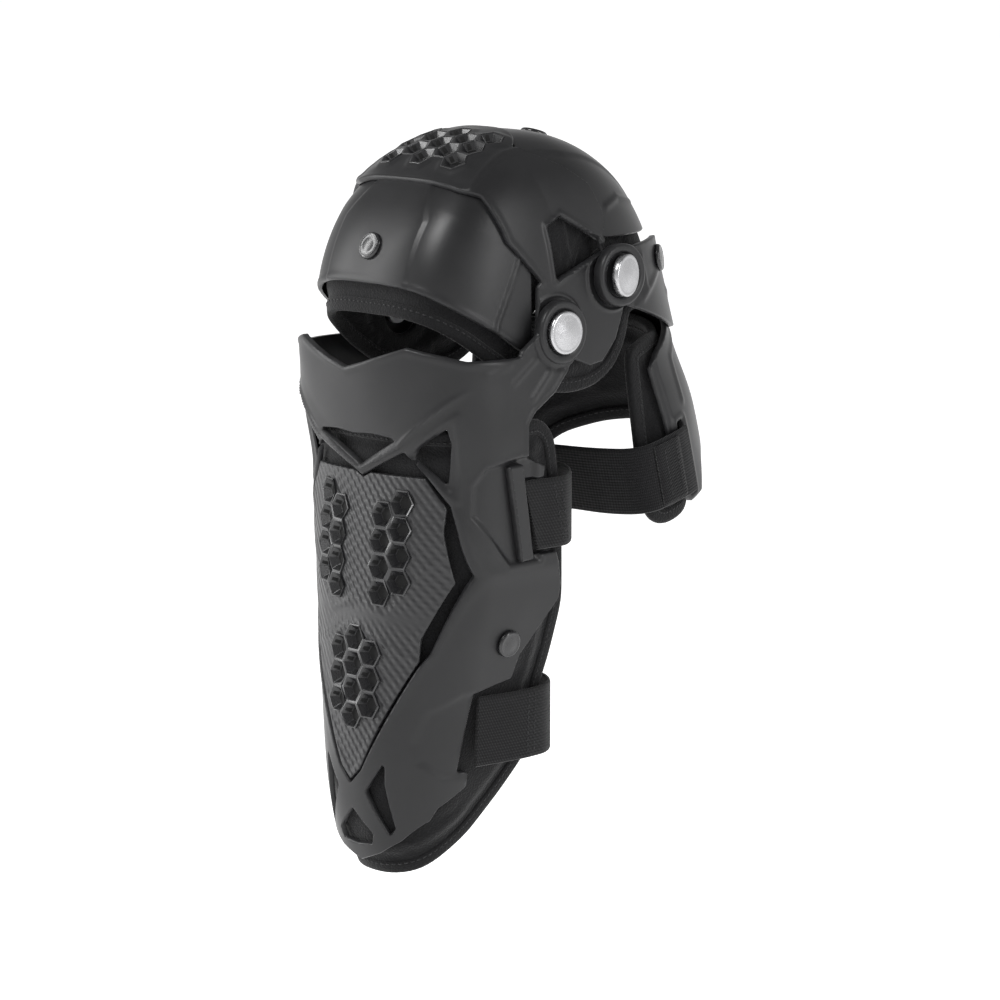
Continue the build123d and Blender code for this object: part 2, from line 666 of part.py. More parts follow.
with BuildPart() as thigh_pad:
    loft(sections=shell_sections(
        THIGH_PLANE, THIGH_PAD_STATIONS, THIGH_EXPONENT, 0, THIGH_PAD_THICKNESS, THIGH_REAR
    ))
    with BuildSketch(thigh_side_plane(-WIDE / 2)):
        with BuildLine():
            Polyline(THIGH_PAD_OUTLINE, close=True)
        make_face()
    extrude(amount=WIDE, mode=Mode.INTERSECT)
    with BuildSketch(thigh_front_plane(0)):
        with BuildLine():
            Polyline(THIGH_PAD_ARCH, close=True)
        make_face()
    extrude(amount=WIDE / 2, mode=Mode.SUBTRACT)
thigh_pad.part.label = "thigh_pad"
export_step(thigh_pad.part, "parts/thigh_pad.step")

THIGH_STRAP_PATH = [
    (74.6, -24.5), (76.4, -18), (77.1, -10), (77.1, 0), (75.2, 9), (66, 15.5), (43, 18.5),
    (20, 19.5), (0, 20),
]
THIGH_STRAP_LEVEL = 94.0
TAB_LENGTH = 19.0
TAB_THICKNESS = 1.6
TAB_ACROSS = 79.3
TAB_BACK = -5.0
TAB_MARGIN = 2.0               # the sewn ends are a little narrower than the strap

with BuildPart() as thigh_strap:
    extrude(
        band_section(THIGH_PLANE.offset(THIGH_STRAP_LEVEL), THIGH_STRAP_PATH, STRAP_THICKNESS),
        amount=STRAP_WIDTH,
    )
thigh_strap.part.label = "thigh_strap"
export_step(thigh_strap.part, "parts/thigh_strap.step")

for name, side in SIDES:
    with BuildPart() as strap_end:
        with BuildSketch(THIGH_PLANE.offset(THIGH_STRAP_LEVEL + TAB_MARGIN)):
            with Locations((side * TAB_ACROSS, TAB_BACK)):
                Rectangle(TAB_THICKNESS, TAB_LENGTH)
        extrude(amount=STRAP_WIDTH - 2 * TAB_MARGIN)
    strap_end.part.label = f"thigh_strap_end_{name}"
    export_step(strap_end.part, f"parts/thigh_strap_end_{name}.step")

    with BuildPart() as thigh_snap:
        with BuildSketch(thigh_snap_plane(side, SNAP_SEAT)):
            Circle(SNAP_RADIUS)
        extrude(amount=SNAP_THICKNESS)
        with BuildSketch(thigh_snap_plane(side, -THIGH_THICKNESS)):
            Circle(SNAP_STEM_RADIUS)
        extrude(amount=THIGH_THICKNESS + SNAP_SEAT)
    thigh_snap.part.label = f"thigh_snap_{name}"
    export_step(thigh_snap.part, f"parts/thigh_snap_{name}.step")

    with BuildPart() as shin_snap:
        with BuildSketch(shin_snap_plane(side, SNAP_SEAT)):
            Circle(SNAP_RADIUS)
        extrude(amount=SNAP_THICKNESS)
    shin_snap.part.label = f"shin_snap_{name}"
    export_step(shin_snap.part, f"parts/shin_snap_{name}.step")

# ---------------------------------------------------------------- hinges
SCREW_OUTSIDE = CHEEK_INSIDE - HINGE_GAP
SOCKET_RADIUS = 2.6
SOCKET_DEPTH = 1.4

for hinge, y, z in HINGES:
    for name, side in SIDES:
        with BuildPart() as rivet:
            with BuildSketch(hinge_plane(SCREW_OUTSIDE, y, z, side)):
                Circle(POST_RADIUS)
            extrude(amount=ARM_FACE - SCREW_OUTSIDE)
            with BuildSketch(hinge_plane(ARM_FACE, y, z, side)):
                Circle(CAP_RADIUS)
            if hinge == "upper":
                extrude(amount=3 * CAP_THICKNESS)
                split(bisect_by=cap_plane(side), keep=Keep.BOTTOM)
            else:
                extrude(amount=CAP_THICKNESS)
            chamfer(rivet.faces().sort_by(Axis.X)[-1 if side > 0 else 0].edges(), 1.0)
        rivet.part.label = f"{hinge}_hinge_cap_{name}"
        export_step(rivet.part, f"parts/{hinge}_hinge_cap_{name}.step")

        with BuildPart() as washer:
            with BuildSketch(hinge_plane(ARM_INSIDE - WASHER_THICKNESS, y, z, side)):
                Circle(CUP_BOSS_RADIUS - 2)
                Circle(POST_RADIUS, mode=Mode.SUBTRACT)
            extrude(amount=WASHER_THICKNESS)
        washer.part.label = f"{hinge}_hinge_washer_{name}"
        export_step(washer.part, f"parts/{hinge}_hinge_washer_{name}.step")

        with BuildPart() as screw:
            with BuildSketch(hinge_plane(SCREW_OUTSIDE - SCREW_HEAD_THICKNESS, y, z, side)):
                Circle(SCREW_HEAD_RADIUS)
            extrude(amount=SCREW_HEAD_THICKNESS)
            with BuildSketch(hinge_plane(SCREW_OUTSIDE - SCREW_HEAD_THICKNESS, y, z, side)):
                RegularPolygon(SOCKET_RADIUS, 6)
            extrude(amount=SOCKET_DEPTH, mode=Mode.SUBTRACT)
        screw.part.label = f"{hinge}_hinge_screw_{name}"
        export_step(screw.part, f"parts/{hinge}_hinge_screw_{name}.step")
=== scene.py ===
from math import cos, sin, radians, pi, sqrt, atan2

import bmesh
import bpy
import numpy as np
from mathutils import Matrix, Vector


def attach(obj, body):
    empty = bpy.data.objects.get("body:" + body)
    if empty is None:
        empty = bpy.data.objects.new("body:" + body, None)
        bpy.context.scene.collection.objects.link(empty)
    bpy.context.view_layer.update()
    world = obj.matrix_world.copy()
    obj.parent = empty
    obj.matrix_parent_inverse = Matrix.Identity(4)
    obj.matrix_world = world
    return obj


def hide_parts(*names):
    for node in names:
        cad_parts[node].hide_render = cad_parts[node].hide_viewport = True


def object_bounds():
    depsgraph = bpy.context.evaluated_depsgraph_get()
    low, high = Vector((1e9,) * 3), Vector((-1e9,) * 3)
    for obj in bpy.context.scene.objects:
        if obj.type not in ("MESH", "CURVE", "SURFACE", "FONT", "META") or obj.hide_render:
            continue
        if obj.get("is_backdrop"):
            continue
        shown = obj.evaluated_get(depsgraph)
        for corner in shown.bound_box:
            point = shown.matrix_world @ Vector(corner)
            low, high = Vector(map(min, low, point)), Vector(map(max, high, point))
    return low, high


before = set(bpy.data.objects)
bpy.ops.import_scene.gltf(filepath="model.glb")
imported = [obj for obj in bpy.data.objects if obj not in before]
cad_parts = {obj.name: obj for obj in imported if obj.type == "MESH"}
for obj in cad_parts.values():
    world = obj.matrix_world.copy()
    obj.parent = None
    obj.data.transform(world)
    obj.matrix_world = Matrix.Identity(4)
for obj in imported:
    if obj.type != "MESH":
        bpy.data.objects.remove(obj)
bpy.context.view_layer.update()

# All shapes below are worked out in millimetres, in the frame of the CAD model.
MM = 0.001
SIDES = (("right", 1), ("left", -1))

# ------------------------------------------------------------------ dimensions shared with the CAD
UPPER_Y, UPPER_Z = 43.7, 27.0
SHIN_STATIONS = [
    (22, 72.0, -92, -36), (-17, 72.0, -90, -36), (-50, 71.5, -84.5, -36), (-75, 69, -78.5, -37),
    (-110, 65, -82, -39), (-154, 59, -84, -40), (-190, 52.5, -86.5, -41), (-238, 44.5, -88, -43),
    (-270, 39, -84.5, -44), (-296, 35, -77, -45),
]
SHIN_EXPONENT = 2.3
DOME_Y, DOME_Z, DOME_RADIUS, DOME_HALF_WIDTH = 17.0, 6.0, 98.5, 66.4
THIGH_TURN = radians(-76)
THIGH_UP = np.array([0, cos(THIGH_TURN), sin(THIGH_TURN)])
THIGH_BACK = np.array([0, THIGH_UP[2], -THIGH_UP[1]])
THIGH_EXPONENT = 1.9
THIGH_FRAME_STATIONS = [(-26, 72.2, -72, 0), (20, 72.2, -72.5, 0), (50, 72.6, -74, -1), (72, 73.4, -76, -2)]
THIGH_PLATE_STATIONS = [(40, 68.2, -69, -1), (62, 70.0, -72.3, -2), (93, 74.5, -77, -4), (140, 75, -77, -5)]
THIGH_PAD_STATIONS = [
    (46, 64.4, -65.0, -1), (75, 67.4, -68.8, -3), (100, 70.4, -72.7, -4), (146, 71.0, -73.0, -5),
]


def station_fields(stations, heights):
    """Half width, front and side line of a shell at each height, on the CAD's smooth curve."""
    listed = sorted(stations)
    last = len(listed) - 1
    rows = []
    for height in np.atleast_1d(heights):
        h = min(max(height, listed[0][0]), listed[-1][0])
        index = max([i for i in range(last) if listed[i][0] <= h] or [0])
        low, high = listed[index], listed[index + 1]
        before, after = listed[max(index - 1, 0)], listed[min(index + 2, last)]
        rise = high[0] - low[0]
        t = (h - low[0]) / rise
        row = []
        for k in (1, 2, 3):
            m0 = (high[k] - before[k]) / (high[0] - before[0])
            m1 = (after[k] - low[k]) / (after[0] - low[0])
            row.append(
                (2 * t**3 - 3 * t**2 + 1) * low[k] + (t**3 - 2 * t**2 + t) * rise * m0
                + (3 * t**2 - 2 * t**3) * high[k] + (t**3 - t**2) * rise * m1
            )
        rows.append(row)
    return np.array(rows)


def resample(points, count):
    """A polyline cut into equal steps along its length."""
    steps = np.concatenate([[0], np.cumsum(np.linalg.norm(np.diff(points, axis=0), axis=1))])
    where = np.linspace(0, steps[-1], count)
    return np.stack([np.interp(where, steps, points[:, k]) for k in range(points.shape[1])], 1)


def cuff_grid(stations, exponent, inset, low, high, rear, cell, place=None):
    """Grid of points on a shell's outer surface, moved in by inset: rows go up, columns go across."""
    rows = []
    heights = np.linspace(low, high, max(int((high - low) / cell), 4) + 1)
    fields = station_fields(stations, heights)
    width, front, side = fields.max(0)[0], fields.min(0)[1], fields.max(0)[2]
    length = width * 1.25 - front * 0.4 + rear
    count = int(length / cell)
    angle = np.linspace(0, pi / 2, 300)
    for height, (half, front, side) in zip(heights, fields):
        x = (half - inset) * np.sin(angle) ** (2 / exponent)
        y = side - (side - front - inset) * np.cos(angle) ** (2 / exponent)
        line = np.stack([x, y], 1)
        line = np.vstack([line, [half - inset, rear]])
        line = resample(line, count)
        both = np.vstack([line[::-1] * [-1, 1], line[1:]])
        rows.append(np.column_stack([both, np.full(len(both), height)]))
    grid = np.array(rows)
    return grid if place is None else place(grid)


def thigh_place(local):
    """Points of the thigh's own frame, x across, y back and z up the thigh, in the row frame."""
    origin = np.array([0, UPPER_Y, UPPER_Z])
    x, y, z = local[..., 0:1], local[..., 1:2], local[..., 2:3]
    return origin + x * np.array([1.0, 0, 0]) + y * THIGH_BACK + z * THIGH_UP


def thigh_local(p):
    """The thigh's own coordinates of points in the row frame."""
    q = p - np.array([0, UPPER_Y, UPPER_Z])
    return np.stack([q[..., 0], q @ THIGH_BACK, q @ THIGH_UP], -1)


def dome_exponent(angle):
    return float(np.interp(angle, [40, 75, 150, 170, 250], [3.7, 2.9, 2.7, 2.7, 3.7]))


def dome_grid(inset, first, last, cell, inner_radius=3.0):
    """Grid of points on the knee dome, moved in by inset: rows go round it, columns go across."""
    rows = []
    turns = np.linspace(first, last, int((last - first) * pi / 180 * DOME_RADIUS / cell) + 1)
    angle = np.linspace(0, pi / 2, 400)
    count = int(145 / cell)
    for turn in turns:
        n = dome_exponent(turn)
        x = (DOME_HALF_WIDTH - inset) * np.sin(angle) ** (2 / n)
        r = (DOME_RADIUS - inset) * np.cos(angle) ** (2 / n)
        keep = r >= inner_radius
        line = resample(np.stack([x[keep], r[keep]], 1), count)
        both = np.vstack([line[::-1] * [-1, 1], line[1:]])
        a = radians(turn)
        rows.append(np.stack([both[:, 0], DOME_Y - both[:, 1] * cos(a), DOME_Z + both[:, 1] * sin(a)], 1))
    return np.array(rows)


def grid_normals(grid):
    """Unit normals of a grid, facing away from the leg."""
    du = np.gradient(grid, axis=1)
    dv = np.gradient(grid, axis=0)
    n = np.cross(du, dv)
    length = np.linalg.norm(n, axis=-1, keepdims=True)
    n = n / np.maximum(length, 1e-9)
    pole = np.sign(grid[..., :1]) * np.array([1.0, 0, 0])
    return np.where(length > 1e-6, n, pole)


# ------------------------------------------------------------------ distances in a flat view
def polygon_distance(points, outline):
    """Signed distance to a closed outline, negative inside."""
    pts = np.asarray(points, float)
    a = np.asarray(outline, float)
    b = np.roll(a, -1, axis=0)
    best = np.full(len(pts), 1e9)
    inside = np.zeros(len(pts), bool)
    for (x0, y0), (x1, y1) in zip(a, b):
        best = np.minimum(best, segment_distance(pts, (x0, y0), (x1, y1)))
        if y0 != y1:
            hit = ((y0 > pts[:, 1]) != (y1 > pts[:, 1])) & (
                pts[:, 0] < (x1 - x0) * (pts[:, 1] - y0) / (y1 - y0) + x0
            )
            inside ^= hit
    return np.where(inside, -best, best)


def segment_distance(pts, a, b):
    a, b = np.asarray(a, float), np.asarray(b, float)
    run = b - a
    t = np.clip(((pts - a) @ run) / max(run @ run, 1e-12), 0, 1)
    return np.linalg.norm(pts - a - t[:, None] * run, axis=1)


def line_distance(pts, line):
    best = np.full(len(pts), 1e9)
    for a, b in zip(line[:-1], line[1:]):
        best = np.minimum(best, segment_distance(pts, a, b))
    return best


def bead(distance, width):
    """Height of a soft rounded line, from 1 on the line down to 0, by distance from it."""
    return np.exp(-((distance / width) ** 2))


def step(value, start, end):
    t = np.clip((value - start) / (end - start), 0, 1)
    return t * t * (3 - 2 * t)


def mirrored(points):
    return points + [(-x, z) for x, z in reversed(points) if x > 0]


def front(p):
    return p[:, [0, 2]]


def side(p):
    return p[:, [1, 2]]


def folded(p):
    """Front view with the left half folded onto the right."""
    return np.stack([np.abs(p[:, 0]), p[:, 2]], 1)


# ------------------------------------------------------------------ mesh building
def trim(grid, distance):
    """Cells of a grid where distance is below zero, cut along zero. Returns points, normals, faces."""
    rows, cols = grid.shape[:2]
    pts = grid.reshape(-1, 3).copy()
    nor = grid_normals(grid).reshape(-1, 3).copy()
    d = distance.reshape(-1).copy()
    inside = d < 0
    index = np.arange(rows * cols).reshape(rows, cols)
    edges = np.vstack([
        np.stack([index[:, :-1].ravel(), index[:, 1:].ravel()], 1),
        np.stack([index[:-1].ravel(), index[1:].ravel()], 1),
    ])
    crossing = edges[inside[edges[:, 0]] != inside[edges[:, 1]]]
    best = {}
    for a, b in crossing:
        t = d[a] / (d[a] - d[b])
        for v, other, share in ((a, b, t), (b, a, 1 - t)):
            if share < 0.42 and share < best.get(v, (1, 0))[0]:
                best[v] = (share, other)
    moved = pts.copy()
    for v, (share, other) in best.items():
        moved[v] = pts[v] + (pts[other] - pts[v]) * share
        d[v] = 0.0
    pts = moved
    inside = d <= 0
    on = d == 0
    points, normals, lookup, cuts, faces = [], [], {}, {}, []

    def use(v):
        if v not in lookup:
            lookup[v] = len(points)
            points.append(pts[v])
            normals.append(nor[v])
        return lookup[v]

    def cut(a, b):
        key = (min(a, b), max(a, b))
        if key not in cuts:
            t = d[a] / (d[a] - d[b])
            cuts[key] = len(points)
            points.append(pts[a] + (pts[b] - pts[a]) * t)
            normals.append(nor[a] + (nor[b] - nor[a]) * t)
        return cuts[key]

    cells = np.stack([index[:-1, :-1], index[:-1, 1:], index[1:, 1:], index[1:, :-1]], -1).reshape(-1, 4)
    counts = inside[cells].sum(1)
    strictly = (inside & ~on)[cells].any(1)
    for cell in cells[(counts > 0) & strictly]:
        face = []
        for k in range(4):
            a, b = cell[k], cell[(k + 1) % 4]
            if inside[a]:
                face.append(use(a))
            if inside[a] != inside[b] and not (on[a] or on[b]):
                face.append(cut(a, b))
        face = [v for i, v in enumerate(face) if v != face[i - 1]]
        if len(face) > 2:
            faces.append(face)
    return weld(np.array(points), np.array(normals), faces)


def weld(points, normals, faces):
    """Join points that lie in the same place, and drop what that leaves flat."""
    keys = [tuple(key) for key in np.round(points, 3)]
    first, new = {}, []
    for i, key in enumerate(keys):
        new.append(first.setdefault(key, i))
    kept = sorted(set(new))
    place = {old: i for i, old in enumerate(kept)}
    total = np.zeros_like(normals)
    np.add.at(total, new, normals)
    out = []
    for face in faces:
        face = [place[new[v]] for v in face]
        face = [v for i, v in enumerate(face) if v != face[i - 1]]
        if len(set(face)) > 2:
            out.append(face)
    return points[kept], total[kept], out


def boundary_loops(faces):
    """Directed boundary edges of a face list, as {from: to}."""
    seen = set()
    for face in faces:
        for k in range(len(face)):
            seen.add((face[k - 1], face[k]))
    return [(a, b) for a, b in seen if (b, a) not in seen]


def plate(grid, distance, thickness, detail, round_edge):
    """Closed plate: the trimmed outer surface with its detail, an inner copy and a rounded rim."""
    p, n, faces = trim(grid, distance)
    n /= np.linalg.norm(n, axis=1, keepdims=True)
    rim = boundary_loops(faces)
    count = len(p)
    lift = detail(p) if detail is not None else np.zeros(count)
    inward = np.zeros((count, 3))
    for a, b in rim:
        run = p[b] - p[a]
        for v in (a, b):
            across = np.cross(n[v], run)
            inward[v] += across
    length = np.linalg.norm(inward, axis=1, keepdims=True)
    inward = inward / np.maximum(length, 1e-9)
    top = p + n * lift[:, None] + inward * round_edge
    edge = p + n * (lift[:, None] - round_edge)
    below = p - n * thickness
    on_rim = sorted({v for e in rim for v in e})
    place = {v: count * 2 + i for i, v in enumerate(on_rim)}
    verts = np.vstack([top, below, edge[on_rim]])
    out = []
    for face in faces:
        out.append(list(face))
        out.append([v + count for v in reversed(face)])
    for a, b in rim:
        out.append([b, a, place[a], place[b]])
        out.append([place[b], place[a], a + count, b + count])
    return verts, out


def make_object(name, verts, faces, material, body, node=None, sharp=50, uv=None):
    """A mesh object from points in millimetres, smooth except along edges sharper than an angle."""
    mesh = bpy.data.meshes.new(name)
    mesh.from_pydata([tuple(v) for v in np.asarray(verts) * MM], [], [list(map(int, f)) for f in faces])
    mesh.materials.append(material)
    if uv is not None:
        layer = mesh.uv_layers.new(name="weave")
        loops = np.zeros(len(mesh.loops), int)
        mesh.loops.foreach_get("vertex_index", loops)
        layer.data.foreach_set("uv", np.asarray(uv)[loops].astype(np.float32).ravel())
    mesh.validate()
    mesh.update()
    bm = bmesh.new()
    bm.from_mesh(mesh)
    bmesh.ops.recalc_face_normals(bm, faces=bm.faces)
    limit = radians(sharp)
    for edge in bm.edges:
        edge.smooth = not (len(edge.link_faces) == 2 and edge.calc_face_angle(0) > limit)
    for face in bm.faces:
        face.smooth = True
    bm.to_mesh(mesh)
    bm.free()
    obj = bpy.data.objects.new(name, mesh)
    bpy.context.scene.collection.objects.link(obj)
    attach(obj, body)
    if node is not None:
        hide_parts(node)
    return obj


def shell_piece(name, grid, distance, thickness, detail, edge, material, body, node):
    """A moulded plate cut from a grid, in place of its CAD node."""
    verts, faces = plate(grid, distance, thickness, detail, edge)
    return make_object(name, verts, faces, material, body, node)


def join_parts(parts):
    """Several (points, faces) meshes as one."""
    verts, faces, start = [], [], 0
    for v, f in parts:
        verts.append(np.asarray(v, float))
        faces += [[i + start for i in face] for face in f]
        start += len(v)
    return np.vstack(verts), faces


def lathe(profile, centre, axis, segments=48):
    """Closed turned part: (radius, height) pairs about an axis through centre."""
    axis = np.asarray(axis, float) / np.linalg.norm(axis)
    first = np.cross(axis, [0, 0, 1.0] if abs(axis[2]) < 0.9 else [1.0, 0, 0])
    first /= np.linalg.norm(first)
    second = np.cross(axis, first)
    verts, faces = [], []
    for radius, height in profile:
        for k in range(segments):
            a = 2 * pi * k / segments
            verts.append(centre + axis * height + (first * cos(a) + second * sin(a)) * radius)
    for i in range(len(profile) - 1):
        for k in range(segments):
            j = (k + 1) % segments
            faces.append([i * segments + k, i * segments + j, (i + 1) * segments + j, (i + 1) * segments + k])
    faces.append(list(reversed(range(segments))))
    faces.append([(len(profile) - 1) * segments + k for k in range(segments)])
    return np.array(verts), faces


# ------------------------------------------------------------------ materials
class Nodes:
    """A small helper that adds and links shader nodes of one material."""

    def __init__(self, name, colour, roughness, **sockets):
        self.material = bpy.data.materials.new(name)
        self.material.use_nodes = True
        self.tree = self.material.node_tree
        self.shader = self.tree.nodes["Principled BSDF"]
        self.shader.inputs["Base Color"].default_value = (*colour, 1)
        self.shader.inputs["Roughness"].default_value = roughness
        for key, value in sockets.items():
            self.shader.inputs[key.replace("_", " ")].default_value = value
        self.colour, self.roughness = colour, roughness
        self.heights = []

    def node(self, kind, **values):
        n = self.tree.nodes.new(kind)
        for key, value in values.items():
            if hasattr(n, key):
                setattr(n, key, value)
            else:
                n.inputs[key.replace("_", " ")].default_value = value
        return n

    def link(self, a, b):
        self.tree.links.new(a, b)

    def place(self, scale=(1, 1, 1), turn=(0, 0, 0), source="Object"):
        coords = self.node("ShaderNodeTexCoord")
        mapping = self.node("ShaderNodeMapping")
        mapping.inputs["Scale"].default_value = scale
        mapping.inputs["Rotation"].default_value = turn
        self.link(coords.outputs[source], mapping.inputs["Vector"])
        return mapping.outputs["Vector"]

    def noise(self, vector, scale, detail=3.0, rough=0.5):
        n = self.node("ShaderNodeTexNoise", Scale=scale, Detail=detail, Roughness=rough)
        self.link(vector, n.inputs["Vector"])
        return n.outputs["Fac"]

    def voronoi(self, vector, scale, feature="F1"):
        n = self.node("ShaderNodeTexVoronoi", feature=feature, Scale=scale)
        self.link(vector, n.inputs["Vector"])
        return n.outputs["Distance"]

    def math(self, kind, a, b):
        n = self.node("ShaderNodeMath", operation=kind)
        for socket, value in zip(n.inputs, (a, b)):
            if isinstance(value, (int, float)):
                socket.default_value = value
            else:
                self.link(value, socket)
        return n.outputs[0]

    def mul(self, a, b):
        return self.math("MULTIPLY", a, b)

    def add(self, a, b):
        return self.math("ADD", a, b)

    def sine(self, a):
        return self.math("SINE", a, 0.0)

    def remap(self, value, low, high, to_low, to_high):
        n = self.node("ShaderNodeMapRange")
        for key, v in (("From Min", low), ("From Max", high), ("To Min", to_low), ("To Max", to_high)):
            n.inputs[key].default_value = v
        self.link(value, n.inputs["Value"])
        return n.outputs["Result"]

    def tint(self, factor, dark=0.8, light=1.2):
        """Colour that varies from a darker to a lighter shade of the base with factor."""
        mix = self.node("ShaderNodeMix", data_type="RGBA")
        mix.inputs[6].default_value = (*[c * dark for c in self.colour], 1)
        mix.inputs[7].default_value = (*[min(c * light, 1) for c in self.colour], 1)
        self.link(factor, mix.inputs[0])
        self.link(mix.outputs[2], self.shader.inputs["Base Color"])

    def rough(self, factor, spread):
        self.link(
            self.remap(factor, 0.3, 0.7, self.roughness - spread, self.roughness + spread),
            self.shader.inputs["Roughness"],
        )

    def bump(self, height, distance, strength=1.0):
        n = self.node("ShaderNodeBump", Strength=strength, Distance=distance)
        self.link(height, n.inputs["Height"])
        if self.heights:
            self.link(self.heights[-1].outputs["Normal"], n.inputs["Normal"])
        self.heights.append(n)
        self.link(n.outputs["Normal"], self.shader.inputs["Normal"])


def plastic(name, colour, roughness, grain=0.00004, wear_and_highlight=2.6):
    """Satin moulded plastic: fine grain, slow random changes of tone and gloss, and convex edges painted paler,
    partly as wear and partly as a painted highlight.
    """
    m = Nodes(name, colour, roughness, Specular_IOR_Level=0.27)
    where = m.place()
    slow = m.noise(where, 28, 4)
    fine = m.noise(where, 2400, 2)
    # Convex edges found by pointiness are painted paler: partly real wear, partly a painted highlight on edges and
    # ridges.
    edges = m.node("ShaderNodeNewGeometry").outputs["Pointiness"]
    worn_and_lit_edges = m.remap(edges, 0.52, 0.62, 0.0, 1.0)
    scuff_and_highlight = m.mul(worn_and_lit_edges, m.remap(m.noise(where, 160, 5), 0.4, 0.62, 0.15, 1.0))
    m.tint(m.add(m.mul(slow, 0.5), m.mul(scuff_and_highlight, 0.9)), 0.82, wear_and_highlight)
    m.rough(slow, 0.05)
    m.bump(fine, grain, 0.7)
    m.bump(m.noise(where, 420, 3), 0.00003, 0.35)
    return m.material


def twill(name, colour, roughness):
    """Moulded diagonal twill, with plain bands, as on the raised centre panel."""
    m = Nodes(name, colour, roughness, Specular_IOR_Level=0.34)
    where = m.place()
    parts = m.node("ShaderNodeSeparateXYZ")
    m.link(where, parts.inputs[0])
    x, z = parts.outputs[0], parts.outputs[2]
    along = m.add(m.mul(x, 1.0), m.mul(z, 0.85))
    across = m.math("SUBTRACT", m.mul(x, 1.0), m.mul(z, 1.2))
    cord_wave = m.sine(m.mul(along, 2 * pi / 0.0052))
    step_wave = m.sine(m.mul(across, 2 * pi / 0.0075))
    weave = m.add(cord_wave, m.mul(m.mul(step_wave, cord_wave), 0.45))
    plain_low = m.remap(z, -0.160, -0.150, 1.0, 0.0)
    plain_high = m.remap(z, -0.150, -0.142, 0.0, 1.0)
    shown = m.math("MAXIMUM", plain_low, plain_high)
    shown = m.math("MINIMUM", m.math("MAXIMUM", shown, 0.0), 1.0)
    height = m.mul(weave, shown)
    m.tint(m.remap(height, -1.3, 1.3, 0.1, 0.9), 0.72, 1.45)
    m.bump(height, 0.00028, 0.8)
    m.bump(m.noise(where, 2400, 2), 0.00003, 0.5)
    return m.material


def knit(name, colour, roughness=0.9):
    """Fine warp-knit liner: small loops, a little fuzz and a soft sheen."""
    m = Nodes(name, colour, roughness, Sheen_Weight=0.12, Sheen_Roughness=0.5, Specular_IOR_Level=0.12)
    where = m.place()
    loops = m.voronoi(where, 900)
    slow = m.noise(where, 60, 3)
    m.tint(m.add(m.mul(loops, 0.6), m.mul(slow, 0.5)), 0.55, 1.5)
    m.bump(loops, 0.00035, 0.8)
    m.bump(m.noise(where, 3200, 2), 0.0001, 0.5)
    return m.material


def webbing(name, colour, ribs=0.0016):
    """Woven elastic webbing: lengthwise cords crossed by fine picks, from the band's own coordinates."""
    m = Nodes(name, colour, 0.85, Sheen_Weight=0.14, Sheen_Roughness=0.45, Specular_IOR_Level=0.14)
    coords = m.node("ShaderNodeUVMap", uv_map="weave")
    parts = m.node("ShaderNodeSeparateXYZ")
    m.link(coords.outputs["UV"], parts.inputs[0])
    u, v = parts.outputs[0], parts.outputs[1]
    cords = m.sine(m.mul(v, 2 * pi / ribs))
    picks = m.sine(m.add(m.mul(u, 2 * pi / 0.0011), m.mul(v, 2 * pi / (2 * ribs))))
    height = m.add(m.mul(cords, 0.5), m.mul(picks, 0.5))
    slow = m.noise(m.place(), 90, 4)
    m.tint(m.add(m.remap(height, -1, 1, 0.1, 0.6), m.mul(slow, 0.5)), 0.6, 1.5)
    m.bump(height, 0.00022, 0.8)
    m.bump(m.noise(m.place(), 2600, 2), 0.00012, 0.5)
    return m.material


def metal(name, colour, roughness):
    """Turned aluminium with faint tool marks."""
    m = Nodes(name, colour, roughness, Metallic=1.0)
    where = m.place()
    m.tint(m.noise(where, 240, 4), 0.86, 1.05)
    m.rough(m.noise(where, 900, 3), 0.06)
    m.bump(m.noise(m.place((1, 1, 6)), 1500, 2), 0.00002, 0.4)
    return m.material


def glossy(name, colour, roughness):
    """Shiny black cap with a clear top and tiny scratches."""
    m = Nodes(name, colour, roughness, Coat_Weight=0.15, Coat_Roughness=0.2)
    where = m.place()
    m.tint(m.noise(where, 300, 4), 0.7, 1.4)
    m.rough(m.noise(m.place((1, 6, 1)), 700, 4), 0.05)
    m.bump(m.noise(where, 500, 3), 0.00002, 0.3)
    return m.material


PLASTIC = plastic("charcoal_plastic", (0.010, 0.010, 0.0106), 0.37)
TRIM = plastic("charcoal_trim", (0.009, 0.009, 0.0096), 0.35)
PANEL = twill("twill_panel", (0.018, 0.018, 0.019), 0.38)
CUP = glossy("vent_cup", (0.010, 0.010, 0.011), 0.30)
# This near-black colour paints the shade inside the vent slits and at the bottom of the vent cups.
HOLE_SHADE = plastic("vent_slit_painted_shade", (0.003, 0.003, 0.003), 0.7)
LINER = knit("knit_liner", (0.007, 0.007, 0.0075))
BINDING = knit("bound_edge", (0.006, 0.006, 0.0065), 0.8)
WEBBING = webbing("strap_webbing", (0.0055, 0.0055, 0.006))
THREAD = knit("thread", (0.018, 0.018, 0.019), 0.7)
CAP_METAL = metal("cap_metal", (0.44, 0.44, 0.45), 0.26)
SCREW_METAL = metal("screw_metal", (0.45, 0.45, 0.46), 0.35)
SNAP = glossy("snap_black", (0.008, 0.008, 0.009), 0.26)
WASHER = plastic("washer_plastic", (0.45, 0.44, 0.42), 0.5)

